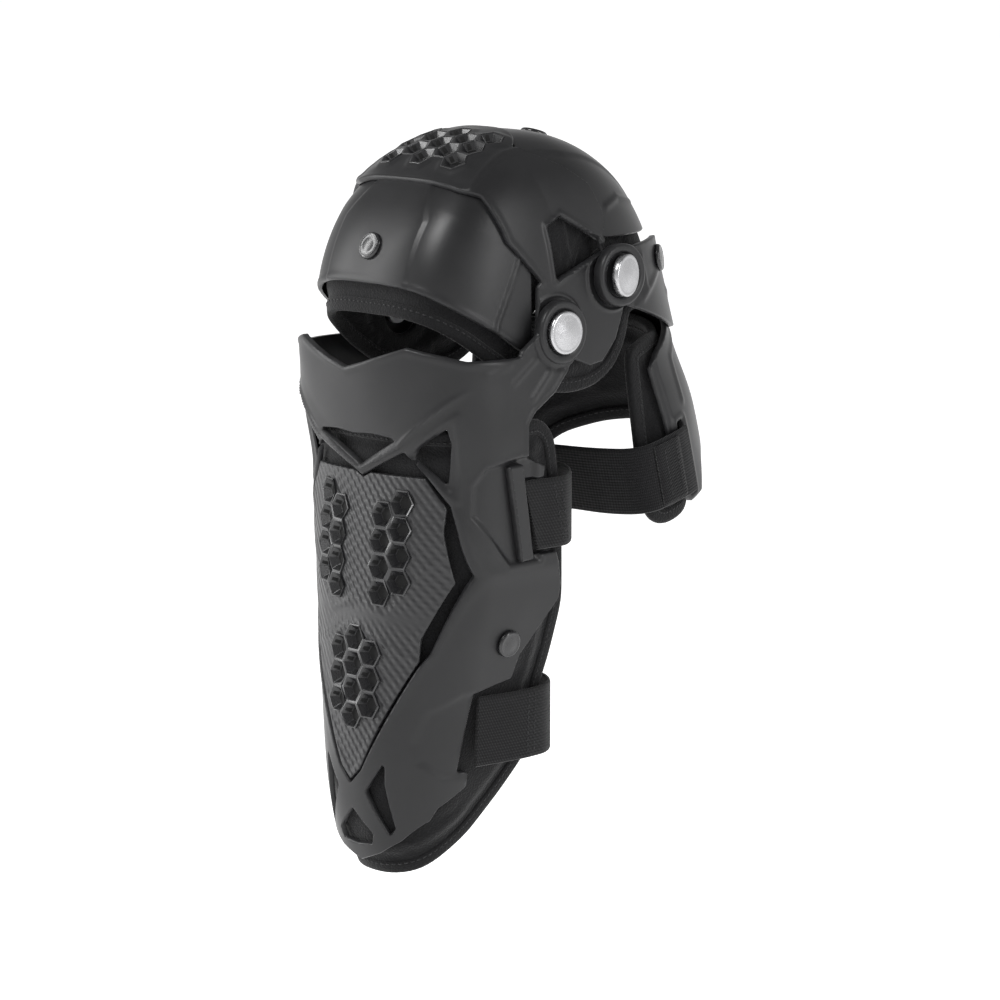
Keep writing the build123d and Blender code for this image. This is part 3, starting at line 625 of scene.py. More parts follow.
# ------------------------------------------------------------------ shin guard, hard parts
SHIN_SIDE_OUTLINE = [
    (-110, 30), (-60, 4), (-56.3, -10.9), (-31, -9.3), (-17, 0), (-12, 12), (0, 17), (12, 12), (17, 0),
    (14, -10), (-4.6, -31.4), (-19, -40.6), (-24, -47), (-22.5, -65), (-10, -70.6),
    (-10, -76.5), (-26, -76.5), (-13, -119), (4, -119), (10, -138), (9, -146), (2, -154),
    (-15, -174), (-19, -187), (-31, -189), (-45, -192), (-50, -235), (-43, -236),
    (-43, -244), (-60, -254), (-80, -290), (-110, -290),
]
MASK_NOTCH = mirrored([(0, -17), (14, -13), (41, -4), (58, -8), (66, -11), (90, -11), (90, 60)])
SHIN_TIP = mirrored([(0, -286), (15, -280), (27, -272), (36, -262), (50, -250), (50, -310)])
PANEL_OPENING = mirrored([
    (0, -76), (33, -60.5), (37, -64), (55, -88), (57.5, -100), (61, -126), (45, -168),
    (40, -175), (21, -210), (8, -234), (0, -242),
])
PANEL_OUTLINE = mirrored([
    (0, -77), (32, -62), (36, -65.5), (53, -89), (52, -102), (55.5, -129), (41, -160),
    (40, -172), (20, -208), (7.5, -233), (0, -240),
])
MASK_WINDOW = mirrored([(0, -70), (31, -53.5), (14, -52), (0, -53)])
SIDE_VENT = [(38, -64), (42, -58), (57, -47), (58, -55), (53.5, -77)]
SIDE_VENT_FRAME = [(35.5, -62), (57, -43.5), (61.5, -39), (60, -70), (58, -86), (54, -82)]
TIP_DIAMOND = [(23, -228), (22.5, -240), (24.5, -256), (25.5, -265), (22.5, -269), (11, -245)]
TIP_TRIANGLE = mirrored([(0, -256), (13, -269), (11, -275), (0, -276)])
STRAP_RECESS = [(-56, -77), (-50, -68), (-29, -64.5), (-18, -64), (-8, -122), (-30, -122.5), (-56, -94)]
LOWER_RECESS = [(-53, -190), (-72, -199), (-77, -217), (-74, -229), (-60, -239), (-43, -240), (-43, -190)]
V_LINE = [(0, -72.8), (31, -57.3), (66, -26.5)]
SHIN_CELL = 1.25
EDGE_ROUND = 0.6


def front_only(p, distance, limit=-30):
    """A cut seen from the front leaves what lies behind limit alone."""
    return np.where(p[:, 1] < limit, distance, -1e3)


def shin_cut(p):
    f, s, h = front(p), side(p), folded(p)
    d = polygon_distance(s, SHIN_SIDE_OUTLINE)
    for view, outline in (
        (f, MASK_NOTCH), (f, SHIN_TIP), (f, PANEL_OPENING), (f, MASK_WINDOW), (f, TIP_TRIANGLE),
        (h, SIDE_VENT), (h, TIP_DIAMOND),
    ):
        d = np.maximum(d, front_only(p, -polygon_distance(view, outline)))
    return d


def shin_detail(p):
    h, s = folded(p), side(p)
    forward = step(-p[:, 1], 34, 44)
    lift = np.zeros(len(p))
    along = np.clip(h[:, 0] / 66, 0, 1)
    v = line_distance(h, V_LINE)
    above = h[:, 1] > np.interp(h[:, 0], [q[0] for q in V_LINE], [q[1] for q in V_LINE])
    taper = step(h[:, 0], 70, 52)
    lift += 1.6 * bead(v, 1.3) * taper * forward
    lift += np.where(above & (v < 12), 0.7 * step(v, 12, 1) * taper * forward, 0)
    vent = polygon_distance(h, SIDE_VENT)
    frame_d = polygon_distance(h, SIDE_VENT_FRAME)
    lift -= 1.5 * step(vent, 5.5, 0.5) * step(frame_d, 1.0, -1.5) * forward
    lift += 0.7 * bead(frame_d, 1.2) * forward * step(h[:, 1], -92, -86)
    recess = polygon_distance(s, STRAP_RECESS)
    lift -= 2.0 * step(recess, 1.2, -1.8)
    lift += 0.35 * bead(recess - 1.6, 1.2)
    low = polygon_distance(s, LOWER_RECESS)
    lift -= 1.3 * step(low, 0.5, -5)
    opening = polygon_distance(h, [(abs(x), z) for x, z in PANEL_OPENING if x >= 0] + [(-5, -242), (-5, -76)])
    lift += 0.8 * bead(opening - 1.6, 1.5) * step(h[:, 1], -80, -96) * step(h[:, 1], -246, -180)
    mask_top = front_only(p, np.abs(polygon_distance(front(p), MASK_NOTCH)))
    lift += 0.5 * bead(mask_top - 2.0, 1.4) * forward
    hub = np.hypot(s[:, 0], s[:, 1])
    lift -= 1.1 * bead(hub - 19.5, 1.3) * step(s[:, 1], 2, -6)
    for line, width, height in (
        ([(-9, -20), (-21, -33)], 2.2, 0.9),
        ([(-20, -13), (-35, -24)], 2.0, 0.7),
        ([(-38, -14), (-52, -19)], 2.4, 0.5),
    ):
        lift += height * bead(line_distance(s, line), width) * step(-p[:, 1], 62, 56)
    edge_line = [(12, -14), (-5, -33), (-19, -42), (-22.5, -48), (-21.5, -64)]
    lift += 0.8 * bead(line_distance(s, edge_line) - 2.6, 1.1) * (s[:, 1] < -10)
    swell = line_distance(s, [(-60, -130), (-22, -150)])
    lift += 0.7 * bead(swell, 14)
    return lift


shin_grid = cuff_grid(SHIN_STATIONS, SHIN_EXPONENT, 0, -296, 22, 18, SHIN_CELL)
flat = shin_grid.reshape(-1, 3)
shell_piece("shin_shell_body", shin_grid, shin_cut(flat), 2.8, shin_detail, EDGE_ROUND, PLASTIC, "shin_guard", "shin_shell")


def shin_point(x, z, inset=0.0):
    """Point and unit outward normal of the shin's surface at a place in front view."""
    def y_at(x_, z_):
        half, edge, line = station_fields(SHIN_STATIONS, z_)[0]
        share = min(abs(x_) / (half - inset), 0.9999)
        return line - (line - edge - inset) * (1 - share**SHIN_EXPONENT) ** (1 / SHIN_EXPONENT)
    e = 0.4
    du = np.array([2 * e, y_at(x + e, z) - y_at(x - e, z), 0])
    dv = np.array([0, y_at(x, z + e) - y_at(x, z - e), 2 * e])
    n = np.cross(du, dv)
    return np.array([x, y_at(x, z), z]), n / np.linalg.norm(n)


HEX_PITCH, HEX_HOLE = 14.0, 12.0
HEX_STEP = HEX_PITCH * sqrt(3) / 2
UPPER_VENTS = [
    (d * (17.0 + c * HEX_STEP), -95.0 + HEX_PITCH * (c / 2 - r))
    for d in (1, -1) for c in range(2) for r in range(4)
]
LOWER_VENTS = [
    (c * HEX_STEP, -163.0 - HEX_PITCH * (r + abs(c) / 2)) for c in (-1, 0, 1) for r in range(4 - abs(c))
]
TOP_VENTS = [
    (c * HEX_STEP, HEX_PITCH * (r - (2 - abs(c) % 2) / 2))
    for c in range(-2, 3) for r in range(3 - abs(c) % 2)
]


def hexagon(radius):
    return [(radius * cos(radians(60 * k)), radius * sin(radians(60 * k))) for k in range(6)]


def hex_holes(points, centres, across=HEX_HOLE):
    best = np.full(len(points), 1e9)
    ring = np.array(hexagon(across / sqrt(3)))
    for centre in centres:
        best = np.minimum(best, polygon_distance(points, ring + centre))
    return best


def panel_cut(p):
    holes = hex_holes(front(p), UPPER_VENTS + LOWER_VENTS)
    return np.maximum(polygon_distance(front(p), PANEL_OUTLINE), -holes)


def panel_detail(p):
    h = folded(p)
    edge = -polygon_distance(front(p), PANEL_OUTLINE)
    lift = 0.55 * step(edge, 5.0, 1.5) * step(h[:, 1], -80, -92)
    lift += 0.5 * bead(line_distance(h, [(0, -142), (22, -150), (47, -118)]), 1.6)
    lift += 0.5 * bead(line_distance(h, [(0, -156), (20, -163), (38, -172)]), 1.6)
    return lift


panel_grid = cuff_grid(SHIN_STATIONS, SHIN_EXPONENT, 0.7, -244, -74, -20, 1.2)
shell_piece(
    "centre_panel", panel_grid, panel_cut(panel_grid.reshape(-1, 3)), 2.6, panel_detail, 0.45, PANEL, "shin_guard",
    "shin_centre_panel",
)


SLIT_PLACE = 4.9
FLOOR_FACES = 6


def vent_cluster(places, depth, floor=3.9):
    """Joined hexagonal funnels: raised shared walls, faceted cups and three slits in each."""
    top, slits = [], []
    outer, lip, mouth, base = HEX_PITCH / sqrt(3), 7.15, 6.75, floor
    for centre, n, across, up in places:
        rings = [(outer, 0.75), (outer - 0.55, 0.95), (lip, 0.95), (mouth, 0.4), (base, -depth)]
        verts, faces = [], []
        for r, h in rings:
            verts += [centre + across * x + up * y + n * h for x, y in hexagon(r)]
        for i in range(len(rings) - 1):
            for k in range(6):
                j = (k + 1) % 6
                faces.append([i * 6 + k, i * 6 + j, (i + 1) * 6 + j, (i + 1) * 6 + k])
        verts.append(centre - n * depth)
        for k in range(6):
            faces.append([(len(rings) - 1) * 6 + k, (len(rings) - 1) * 6 + (k + 1) % 6, len(verts) - 1])
        top.append((np.array(verts), faces))
        for turn in (35, 155, 275):
            a = radians(turn)
            radial = across * cos(a) + up * sin(a)
            tangent = np.cross(n, radial)
            down = (depth + 0.4) * (mouth - SLIT_PLACE / cos(radians(25))) / (mouth - base)
            middle = centre + radial * SLIT_PLACE + n * (0.4 - down)
            slope = radial * (mouth - base) * 0.9 + n * (depth + 0.4)
            slope /= np.linalg.norm(slope)
            lift = np.cross(tangent, slope)
            if lift @ n < 0:
                lift = -lift
            box = [
                middle + slope * sx + tangent * sy + lift * sz
                for sz in (-0.5, 0.3) for sx, sy in ((-1.7, -1.1), (1.6, -1.1), (1.6, 1.1), (-1.7, 1.1))
            ]
            slits.append((np.array(box), [
                [3, 2, 1, 0], [4, 5, 6, 7], [0, 1, 5, 4], [1, 2, 6, 5], [2, 3, 7, 6], [3, 0, 4, 7]
            ]))
    return top, slits


def cluster_object(name, places, depth, body):
    top, slits = vent_cluster(places, depth)
    verts, faces = join_parts(top)
    mesh = bpy.data.meshes.new(name)
    mesh.from_pydata([tuple(p) for p in verts * MM], [], faces)
    cell_faces = len(faces) // len(places)
    # Floor faces of each cup take the second, near-black material: painted shade at the bottom of the cup.
    painted_shade_floor = [int(k % cell_faces >= cell_faces - FLOOR_FACES) for k in range(len(faces))]
    mesh.polygons.foreach_set("material_index", painted_shade_floor)
    bm = bmesh.new()
    bm.from_mesh(mesh)
    bmesh.ops.remove_doubles(bm, verts=bm.verts, dist=0.0009)
    bmesh.ops.recalc_face_normals(bm, faces=bm.faces)
    rim = [e for e in bm.edges if len(e.link_faces) == 1]
    n = np.mean([p[1] for p in places], axis=0)
    made = bmesh.ops.extrude_edge_only(bm, edges=rim)
    for item in made["geom"]:
        if isinstance(item, bmesh.types.BMVert):
            item.co -= Vector(n * 1.6 * MM)
    # The slit boxes take the same near-black material: a dark box painted in as the shade inside each slit.
    for box, box_faces in slits:
        vs = [bm.verts.new(p * MM) for p in box]
        for face in box_faces:
            made_face = bm.faces.new([vs[i] for i in face])
            made_face.material_index = 1
    bm.to_mesh(mesh)
    bm.free()
    mesh.materials.append(CUP)
    mesh.materials.append(HOLE_SHADE)
    obj = bpy.data.objects.new(name, mesh)
    bpy.context.scene.collection.objects.link(obj)
    bevel = obj.modifiers.new("soft_edges", "BEVEL")
    bevel.width, bevel.segments, bevel.limit_method, bevel.angle_limit = 0.00018, 2, "ANGLE", radians(25)
    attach(obj, body)
    return obj


def shin_places(centres, inset):
    places = []
    for x, z in centres:
        p, n = shin_point(x, z, inset)
        up = np.array([0, 0, 1.0]) - n * n[2]
        up /= np.linalg.norm(up)
        places.append((p, n, np.cross(up, n), up))
    return places


cluster_object("upper_vents_right", shin_places(UPPER_VENTS[:8], 0.7), 3.4, "shin_guard")
cluster_object("upper_vents_left", shin_places(UPPER_VENTS[8:], 0.7), 3.4, "shin_guard")
cluster_object("lower_vents", shin_places(LOWER_VENTS, 0.7), 3.4, "shin_guard")

BAR_OUTLINE = [(-38, -68.5), (-28, -67.5), (-14.5, -120.8), (-23.5, -121.5)]
bar_grid = cuff_grid(SHIN_STATIONS, SHIN_EXPONENT, -2.4, -126, -62, 18, 1.2)
for name, sign in SIDES:
    flat = bar_grid.reshape(-1, 3)
    d = np.maximum(polygon_distance(side(flat), BAR_OUTLINE), 20 - sign * flat[:, 0])
    shell_piece(
        f"strap_bar_{name}", bar_grid, d, 4.2, None, 0.9, TRIM, "shin_guard", f"calf_strap_bar_{name}"
    )

# ------------------------------------------------------------------ knee cup, hard parts
CENTRE_PLATE_OUTLINE = [
    (-70, 120), (-56, 88), (-46, 76), (-38, 73), (-30, 48.5), (-10, 27), (8, 17), (17, 6),
    (33, 34), (39, 45), (41, 61), (35, 76), (20, 86), (-3, 96), (12, 105), (12, 120),
]
CHEEK_OUTLINE = [
    (-12, 24), (-13, -8), (0, -14), (14, -16), (26, -20.5), (36, -19), (46, -8), (52, 7),
    (54, 20), (48, 36), (36, 42), (20, 44), (0, 38),
]
CHEEK_WINDOW = [(-3, 55), (8, 60), (34, 46), (36, 40), (1, 27)]
FRONT_PLATE_OUTLINE = [
    (-110, 30), (-79.5, 30), (-77, 26.5), (-66, 18), (-53, 10), (-37, 1), (-24, -8),
    (-17, -11), (-14, -4), (-14, 30), (-20, 52), (-26, 76), (-34, 92), (-34, 120), (-110, 120),
]
REAR_PLATE_OUTLINE = [
    (2, 120), (2, 104), (-12, 94), (-10, 86), (10, 80), (25, 70), (30, 60), (30, 48),
    (46, 46), (120, 46), (120, 120),
]
PLATE_STEP = 2.7
TOP_VENT_ANGLE = radians(67)
TOP_OUT = np.array([0, -cos(TOP_VENT_ANGLE), sin(TOP_VENT_ANGLE)])
TOP_UP = np.array([0, sin(TOP_VENT_ANGLE), cos(TOP_VENT_ANGLE)])
DOME_CENTRE = np.array([0, DOME_Y, DOME_Z])


def top_view(p):
    """Points of the dome's crown seen along the middle of its vents."""
    q = p - DOME_CENTRE
    near = q @ TOP_OUT > 60
    return np.where(near[:, None], np.stack([q[:, 0], q @ TOP_UP], 1), 1e3)


def hub_rings(p, axes, radius, width, height):
    s = side(p)
    lift = np.zeros(len(p))
    for y, z in axes:
        lift += height * bead(np.hypot(s[:, 0] - y, s[:, 1] - z) - radius, width)
    return lift


def centre_cut(p):
    s = side(p)
    d = np.minimum(polygon_distance(s, CENTRE_PLATE_OUTLINE), polygon_distance(s, CHEEK_OUTLINE))
    d = np.maximum(d, -polygon_distance(s, CHEEK_WINDOW))
    return np.maximum(d, -hex_holes(top_view(p), TOP_VENTS))


def centre_detail(p):
    s, t = side(p), top_view(p)
    window = polygon_distance(s, CHEEK_WINDOW)
    lift = 0.9 * bead(window - 1.5, 1.3)
    lift += hub_rings(p, ((0, 0), (UPPER_Y, UPPER_Z)), 19.4, 1.0, 0.9)
    edge = line_distance(s, CENTRE_PLATE_OUTLINE[1:6])
    lift += 0.5 * step(edge, 4.5, 1.0)
    crest = line_distance(np.stack([np.abs(p[:, 0]), s[:, 0]], 1), [(44, -40), (38, -12), (40, 14)])
    lift += 0.9 * bead(crest, 1.6) * (s[:, 1] > 60)
    cluster = hex_holes(t, TOP_VENTS, HEX_PITCH)
    lift += 0.7 * step(cluster, 4.0, 0.6) * (cluster < 100)
    return lift


def front_plate_cut(p):
    return polygon_distance(side(p), FRONT_PLATE_OUTLINE)


def rear_plate_cut(p):
    return polygon_distance(side(p), REAR_PLATE_OUTLINE)


def front_plate_detail(p):
    f, s = folded(p), side(p)
    lift = 0.75 * step(line_distance(f, [(30, 18), (30.5, 59), (21, 77)]), 1.5, 0.0) * (s[:, 0] < -30)
    inside = (f[:, 0] < np.interp(f[:, 1], [18, 59, 77, 100], [30, 30.5, 21, 10])) & (s[:, 0] < -30)
    lift = np.where(inside, np.maximum(lift, 0.75), lift)
    rib = line_distance(s, [(-40, -4), (-36.5, 8), (-22.6, 38), (-20, 52)])
    lift += 0.8 * step(rib, 1.7, 0.6)
    lower = line_distance(s, FRONT_PLATE_OUTLINE[1:8])
    lift += 0.5 * bead(lower - 2.0, 1.3)
    return lift


def rear_plate_detail(p):
    s = side(p)
    lift = np.zeros(len(p))
    wide = np.abs(p[:, 0])
    for line in ([(38, 0), (40, 30), (36, 60), (30, 90)],):
        d = line_distance(np.stack([wide, s[:, 0]], 1), line)
        lift += 0.8 * step(d, 2.2, 0.0) * (s[:, 1] > 50)
        inside = (wide < np.interp(s[:, 0], [0, 30, 60, 90], [38, 40, 36, 30])) & (s[:, 1] > 50)
        lift = np.where(inside, np.maximum(lift, 0.8), lift)
    rib = line_distance(s, [(48, 62), (62, 66), (80, 62)])
    lift += 0.8 * bead(rib, 1.7) * (wide > 30)
    return lift


DOME_CELL = 1.3
for name, inset, first, last, axle, cut, detail in (
    ("centre", 0, -110, 250, 0.0, centre_cut, centre_detail),
    ("front", PLATE_STEP, -22, 70, 3.0, front_plate_cut, front_plate_detail),
    ("rear", PLATE_STEP, 80, 155, 3.0, rear_plate_cut, rear_plate_detail),
):
    dome = dome_grid(inset, first, last, DOME_CELL, axle)
    shell_piece(
        f"knee_{name}_shell", dome, cut(dome.reshape(-1, 3)), 2.4, detail, EDGE_ROUND, PLASTIC, "knee_cup",
        f"knee_{name}_plate",
    )


def dome_point(x, up, inset=0.0):
    """Point and normal of the dome at a place in the vents' own view."""
    def excess(q):
        r = np.hypot(q[1] - DOME_Y, q[2] - DOME_Z) / (DOME_RADIUS - inset)
        turn = np.degrees(atan2(q[2] - DOME_Z, DOME_Y - q[1]))
        n = dome_exponent(turn)
        return (abs(q[0]) / (DOME_HALF_WIDTH - inset)) ** n + r**n - 1
    base = DOME_CENTRE + np.array([x, 0, 0]) + TOP_UP * up
    low, high = 20.0, 120.0
    for _ in range(40):
        middle = (low + high) / 2
        if excess(base + TOP_OUT * middle) > 0:
            high = middle
        else:
            low = middle
    p = base + TOP_OUT * low
    e = 0.01
    n = np.array([excess(p + d) - excess(p - d) for d in np.eye(3) * e])
    return p, n / np.linalg.norm(n)


top_places = []
for x, up in TOP_VENTS:
    p, n = dome_point(x, up)
    u = TOP_UP - n * (n @ TOP_UP)
    u /= np.linalg.norm(u)
    top_places.append((p, n, np.cross(u, n), u))
cluster_object("top_vents", top_places, 3.2, "knee_cup")

# ------------------------------------------------------------------ thigh cuff, hard parts
ARM_OUTLINE = [
    (-110, -6), (-57, -4.5), (-20, -11), (-12, -12), (0, -17), (12, -12), (17, 0), (12, 12),
    (0, 17), (-14, 25), (-55, 50), (-78, 60), (-110, 62),
]
KNEE_ARCH = mirrored([(0, 31), (30, 31), (40, 29.5), (45, 27), (50, 19.5), (54, 5), (55.5, -40)])
THIGH_PLATE_OUTLINE = [(-110, 44), (-56, 44), (-22, 52), (-13, 58), (-13, 128), (-22, 138), (-110, 138)]
THIGH_SLOT = [(-28, 92), (-21, 92), (-21, 134), (-28, 134)]


def frame_cut(p):
    q = thigh_local(p)
    d = polygon_distance(q[:, 1:], ARM_OUTLINE)
    arch = -polygon_distance(q[:, [0, 2]], KNEE_ARCH)
    return np.maximum(d, np.where(q[:, 1] < -25, arch, -1e3))


def frame_detail(p):
    q = thigh_local(p)
    wide = np.abs(q[:, 0])
    lift = 0.9 * bead(line_distance(q[:, 1:], [(-14, 18), (-40, 8), (-62, 6)]), 1.8)
    lift += 0.8 * bead(line_distance(q[:, 1:], [(-19, -4), (-19, 14)]), 1.4)
    hub = np.hypot(q[:, 1], q[:, 2])
    lift -= 0.9 * bead(hub - 18.6, 1.2) * (q[:, 1] < -5)
    lift += 0.6 * bead(line_distance(np.stack([wide, q[:, 2]], 1), [(0, 38), (34, 38), (52, 26)]), 2.0) * (
        q[:, 1] < -30
    )
    return lift


THIGH_PLATE_ARCH = mirrored([(0, 108), (30, 110), (50, 114), (60, 122), (66, 138), (66, 170)])


def thigh_plate_cut(p):
    local = thigh_local(p)
    q = local[:, 1:]
    d = np.maximum(polygon_distance(q, THIGH_PLATE_OUTLINE), -polygon_distance(q, THIGH_SLOT))
    return np.maximum(d, -polygon_distance(local[:, [0, 2]], THIGH_PLATE_ARCH))


def thigh_plate_detail(p):
    q = thigh_local(p)
    slot = polygon_distance(q[:, 1:], THIGH_SLOT)
    lift = 0.8 * bead(slot - 2.0, 1.4)
    lift -= 1.0 * step(line_distance(q[:, 1:], [(-13, 58), (-13, 128)]), 5.5, 4.0)
    lift += 0.8 * bead(line_distance(q[:, 1:], [(-34, 84), (-36, 60), (-54, 52)]), 1.8)
    lift -= 0.7 * step(np.abs(q[:, 0]), 20, 17) * step(q[:, 2], 62, 66) * step(q[:, 2], 130, 126)
    return lift


for name, stations, low, high, cut, detail, node in (
    ("thigh_yoke", THIGH_FRAME_STATIONS, -26, 64, frame_cut, frame_detail, "thigh_frame"),
    ("thigh_shell", THIGH_PLATE_STATIONS, 40, 140, thigh_plate_cut, thigh_plate_detail, "thigh_plate"),
):
    grid = cuff_grid(stations, THIGH_EXPONENT, 0, low, high, 20, 1.5, thigh_place)
    shell_piece(name, grid, cut(grid.reshape(-1, 3)), 3.0, detail, EDGE_ROUND, PLASTIC, "thigh_cuff", node)

# ------------------------------------------------------------------ hinges and snaps
BOSS_RING = [
    (11.6, -5.0), (16.4, -5.0), (16.9, -4.4), (16.9, 0.2), (16.3, 1.1), (15.2, 1.5), (13.4, 1.3), (12.2, 0.6),
    (11.6, -0.4),
]
CAP_PROFILE = [
    (4.0, -10.5), (4.0, -0.6), (11.0, -0.6), (11.5, -0.1), (11.6, 0.4), (11.6, 2.6), (11.4, 3.1), (11.0, 3.45),
    (10.2, 3.6), (9.6, 3.45), (9.0, 3.5), (6.0, 4.0), (3.0, 4.45), (0.4, 4.75),
]
ARM_FACE = 72.2
BOSS_SEGMENTS = 64
CAP_TURN = radians(15)
for hinge, y, z, body in (("lower", 0, 0, "shin_guard"), ("upper", UPPER_Y, UPPER_Z, "thigh_cuff")):
    for name, sign in SIDES:
        centre = np.array([sign * ARM_FACE, y, z])
        axis = np.array([sign, 0.0, 0.0])
        v, f = lathe(BOSS_RING, centre, axis, BOSS_SEGMENTS)
        last = (len(BOSS_RING) - 1) * BOSS_SEGMENTS
        after = [(k + 1) % BOSS_SEGMENTS for k in range(BOSS_SEGMENTS)]
        closing = [[last + k, last + after[k], after[k], k] for k in range(BOSS_SEGMENTS)]
        make_object(f"{hinge}_boss_{name}", v, f[:-2] + closing, PLASTIC, body)
        tilt = axis
        if hinge == "upper":
            tilt = np.array([sign * cos(CAP_TURN), sin(CAP_TURN), 0])
            centre = centre + np.array([sign * 0.9, 0.0, 0])
        v, f = lathe(CAP_PROFILE, centre, tilt, 72)
        make_object(f"{hinge}_cap_{name}", v, f, CAP_METAL, body, f"{hinge}_hinge_cap_{name}", sharp=42)

SNAP_RISE = 0.7
SNAP_PROFILE = [
    (3.0, -2.6), (3.0, -0.5), (7.0, -0.5), (7.45, 0.0), (7.5, 0.8), (7.2, 1.5), (6.7, 2.0), (6.3, 2.15), (5.9, 2.05),
    (5.6, 1.95), (3.5, 2.35), (1.5, 2.5), (0.3, 2.52),
]


def snap(name, centre, axis, body, node):
    v, f = lathe(SNAP_PROFILE, np.asarray(centre, float), axis, 56)
    make_object(name, v, f, SNAP, body, node, sharp=60)


for name, angle in (("front", 24.0), ("rear", 108.0)):
    a = radians(angle)
    out = np.array([0, -cos(a), sin(a)])
    rise = 0.75 if name == "front" else 0.8
    seat = DOME_CENTRE + out * (DOME_RADIUS - PLATE_STEP + rise)
    snap(f"knee_cap_{name}", seat, out, "knee_cup", f"knee_snap_{name}")
for name, sign in SIDES:
    a = radians(10)
    out = np.array([sign * cos(a), 0, -sin(a)])
    seat = np.array([sign * 57.2, -26, -166])
    snap(f"shin_cap_{name}", seat + out * SNAP_RISE, out, "shin_guard", f"shin_snap_{name}")
    a = radians(37)
    forward = -THIGH_BACK
    out = np.array([sign * cos(a), sin(a) * forward[1], sin(a) * forward[2]])
    seat = np.array([sign * 57.5, UPPER_Y, UPPER_Z]) + forward * 41 + THIGH_UP * 5
    snap(f"thigh_cap_{name}", seat + out * SNAP_RISE, out, "thigh_cuff", f"thigh_snap_{name}")

for node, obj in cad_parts.items():
    if "screw" in node or "washer" in node:
        obj.data.materials.clear()
        obj.data.materials.append(SCREW_METAL if "screw" in node else WASHER)
        bevel = obj.modifiers.new("soft_edges", "BEVEL")
        bevel.width, bevel.segments, bevel.limit_method, bevel.angle_limit = 0.0003, 2, "ANGLE", radians(35)

# ------------------------------------------------------------------ padded liners
def ordered_loops(rim):
    """Boundary edges as closed rings of points, each in order."""
    following = dict(rim)
    rings = []
    while following:
        start, now = following.popitem()
        ring = [start]
        while now != start and now in following:
            ring.append(now)
            now = following.pop(now)
        rings.append(ring)
    return rings


def closed_resample(points, spacing):
    """A closed ring cut into equal steps and smoothed a little."""
    ring = np.vstack([points, points[:1]])
    length = np.linalg.norm(np.diff(ring[:, :3], axis=0), axis=1)
    where = np.concatenate([[0], np.cumsum(length)])
    count = max(int(where[-1] / spacing), 8)
    steps = np.arange(count) * where[-1] / count
    ring = np.stack([np.interp(steps, where, ring[:, k]) for k in range(ring.shape[1])], 1)
    for _ in range(4):
        ring = ring * 0.5 + (np.roll(ring, 1, axis=0) + np.roll(ring, -1, axis=0)) * 0.25
    return ring


def unit(v):
    return v / np.maximum(np.linalg.norm(v, axis=-1, keepdims=True), 1e-9)


def capsule(centre, along, out, length, radius):
    """One stitch: a short rounded thread lying on the cloth."""
    sideways = np.cross(along, out)
    verts = [centre - along * length / 2]
    for place, share in ((-0.38, 0.75), (0.0, 1.0), (0.38, 0.75)):
        for k in range(6):
            a = radians(60 * k)
            verts.append(centre + along * length * place + (out * cos(a) + sideways * sin(a)) * radius * share)
    verts.append(centre + along * length / 2)
    faces = [[0, 1 + (k + 1) % 6, 1 + k] for k in range(6)]
    for i in range(2):
        for k in range(6):
            j = (k + 1) % 6
            faces.append([1 + i * 6 + k, 1 + i * 6 + j, 7 + i * 6 + j, 7 + i * 6 + k])
    faces += [[13 + k, 13 + (k + 1) % 6, 19] for k in range(6)]
    return np.array(verts), faces


def swept_binding(ring, normals, inward, half):
    """Folded edge tape swept round a closed ring, and its two rows of stitches."""
    section = [
        (-1.5, 0.0), (-1.3, half * 0.55), (-0.5, half * 0.93), (0.8, half), (5.4, half), (6.2, half - 0.35),
        (6.5, half - 1.0), (6.5, 1.0 - half), (6.2, 0.35 - half), (5.4, -half), (0.8, -half), (-0.5, -half * 0.93),
        (-1.3, -half * 0.55),
    ]
    count, size = len(ring), len(section)
    verts = np.concatenate([ring + inward * a + normals * b for a, b in section])
    faces = []
    for i in range(size):
        this, other = i * count, ((i + 1) % size) * count
        for k in range(count):
            j = (k + 1) % count
            faces.append([this + k, this + j, other + j, other + k])
    along = unit(np.roll(ring, -1, axis=0) - np.roll(ring, 1, axis=0))
    stitches = []
    for k in range(count):
        for sign in (1, -1):
            place = ring[k] + inward[k] * 4.6 + normals[k] * sign * (half + 0.05)
            stitches.append(capsule(place, along[k], normals[k] * sign, 2.3, 0.42))
    return (verts, faces), stitches


CLOTH_FRAMES = 20
SHELL_ROOM = 0.15     # how far the filling may push towards the shell
SINK = 0.9            # and how far any point may sink
SIDEWAYS = 1.0


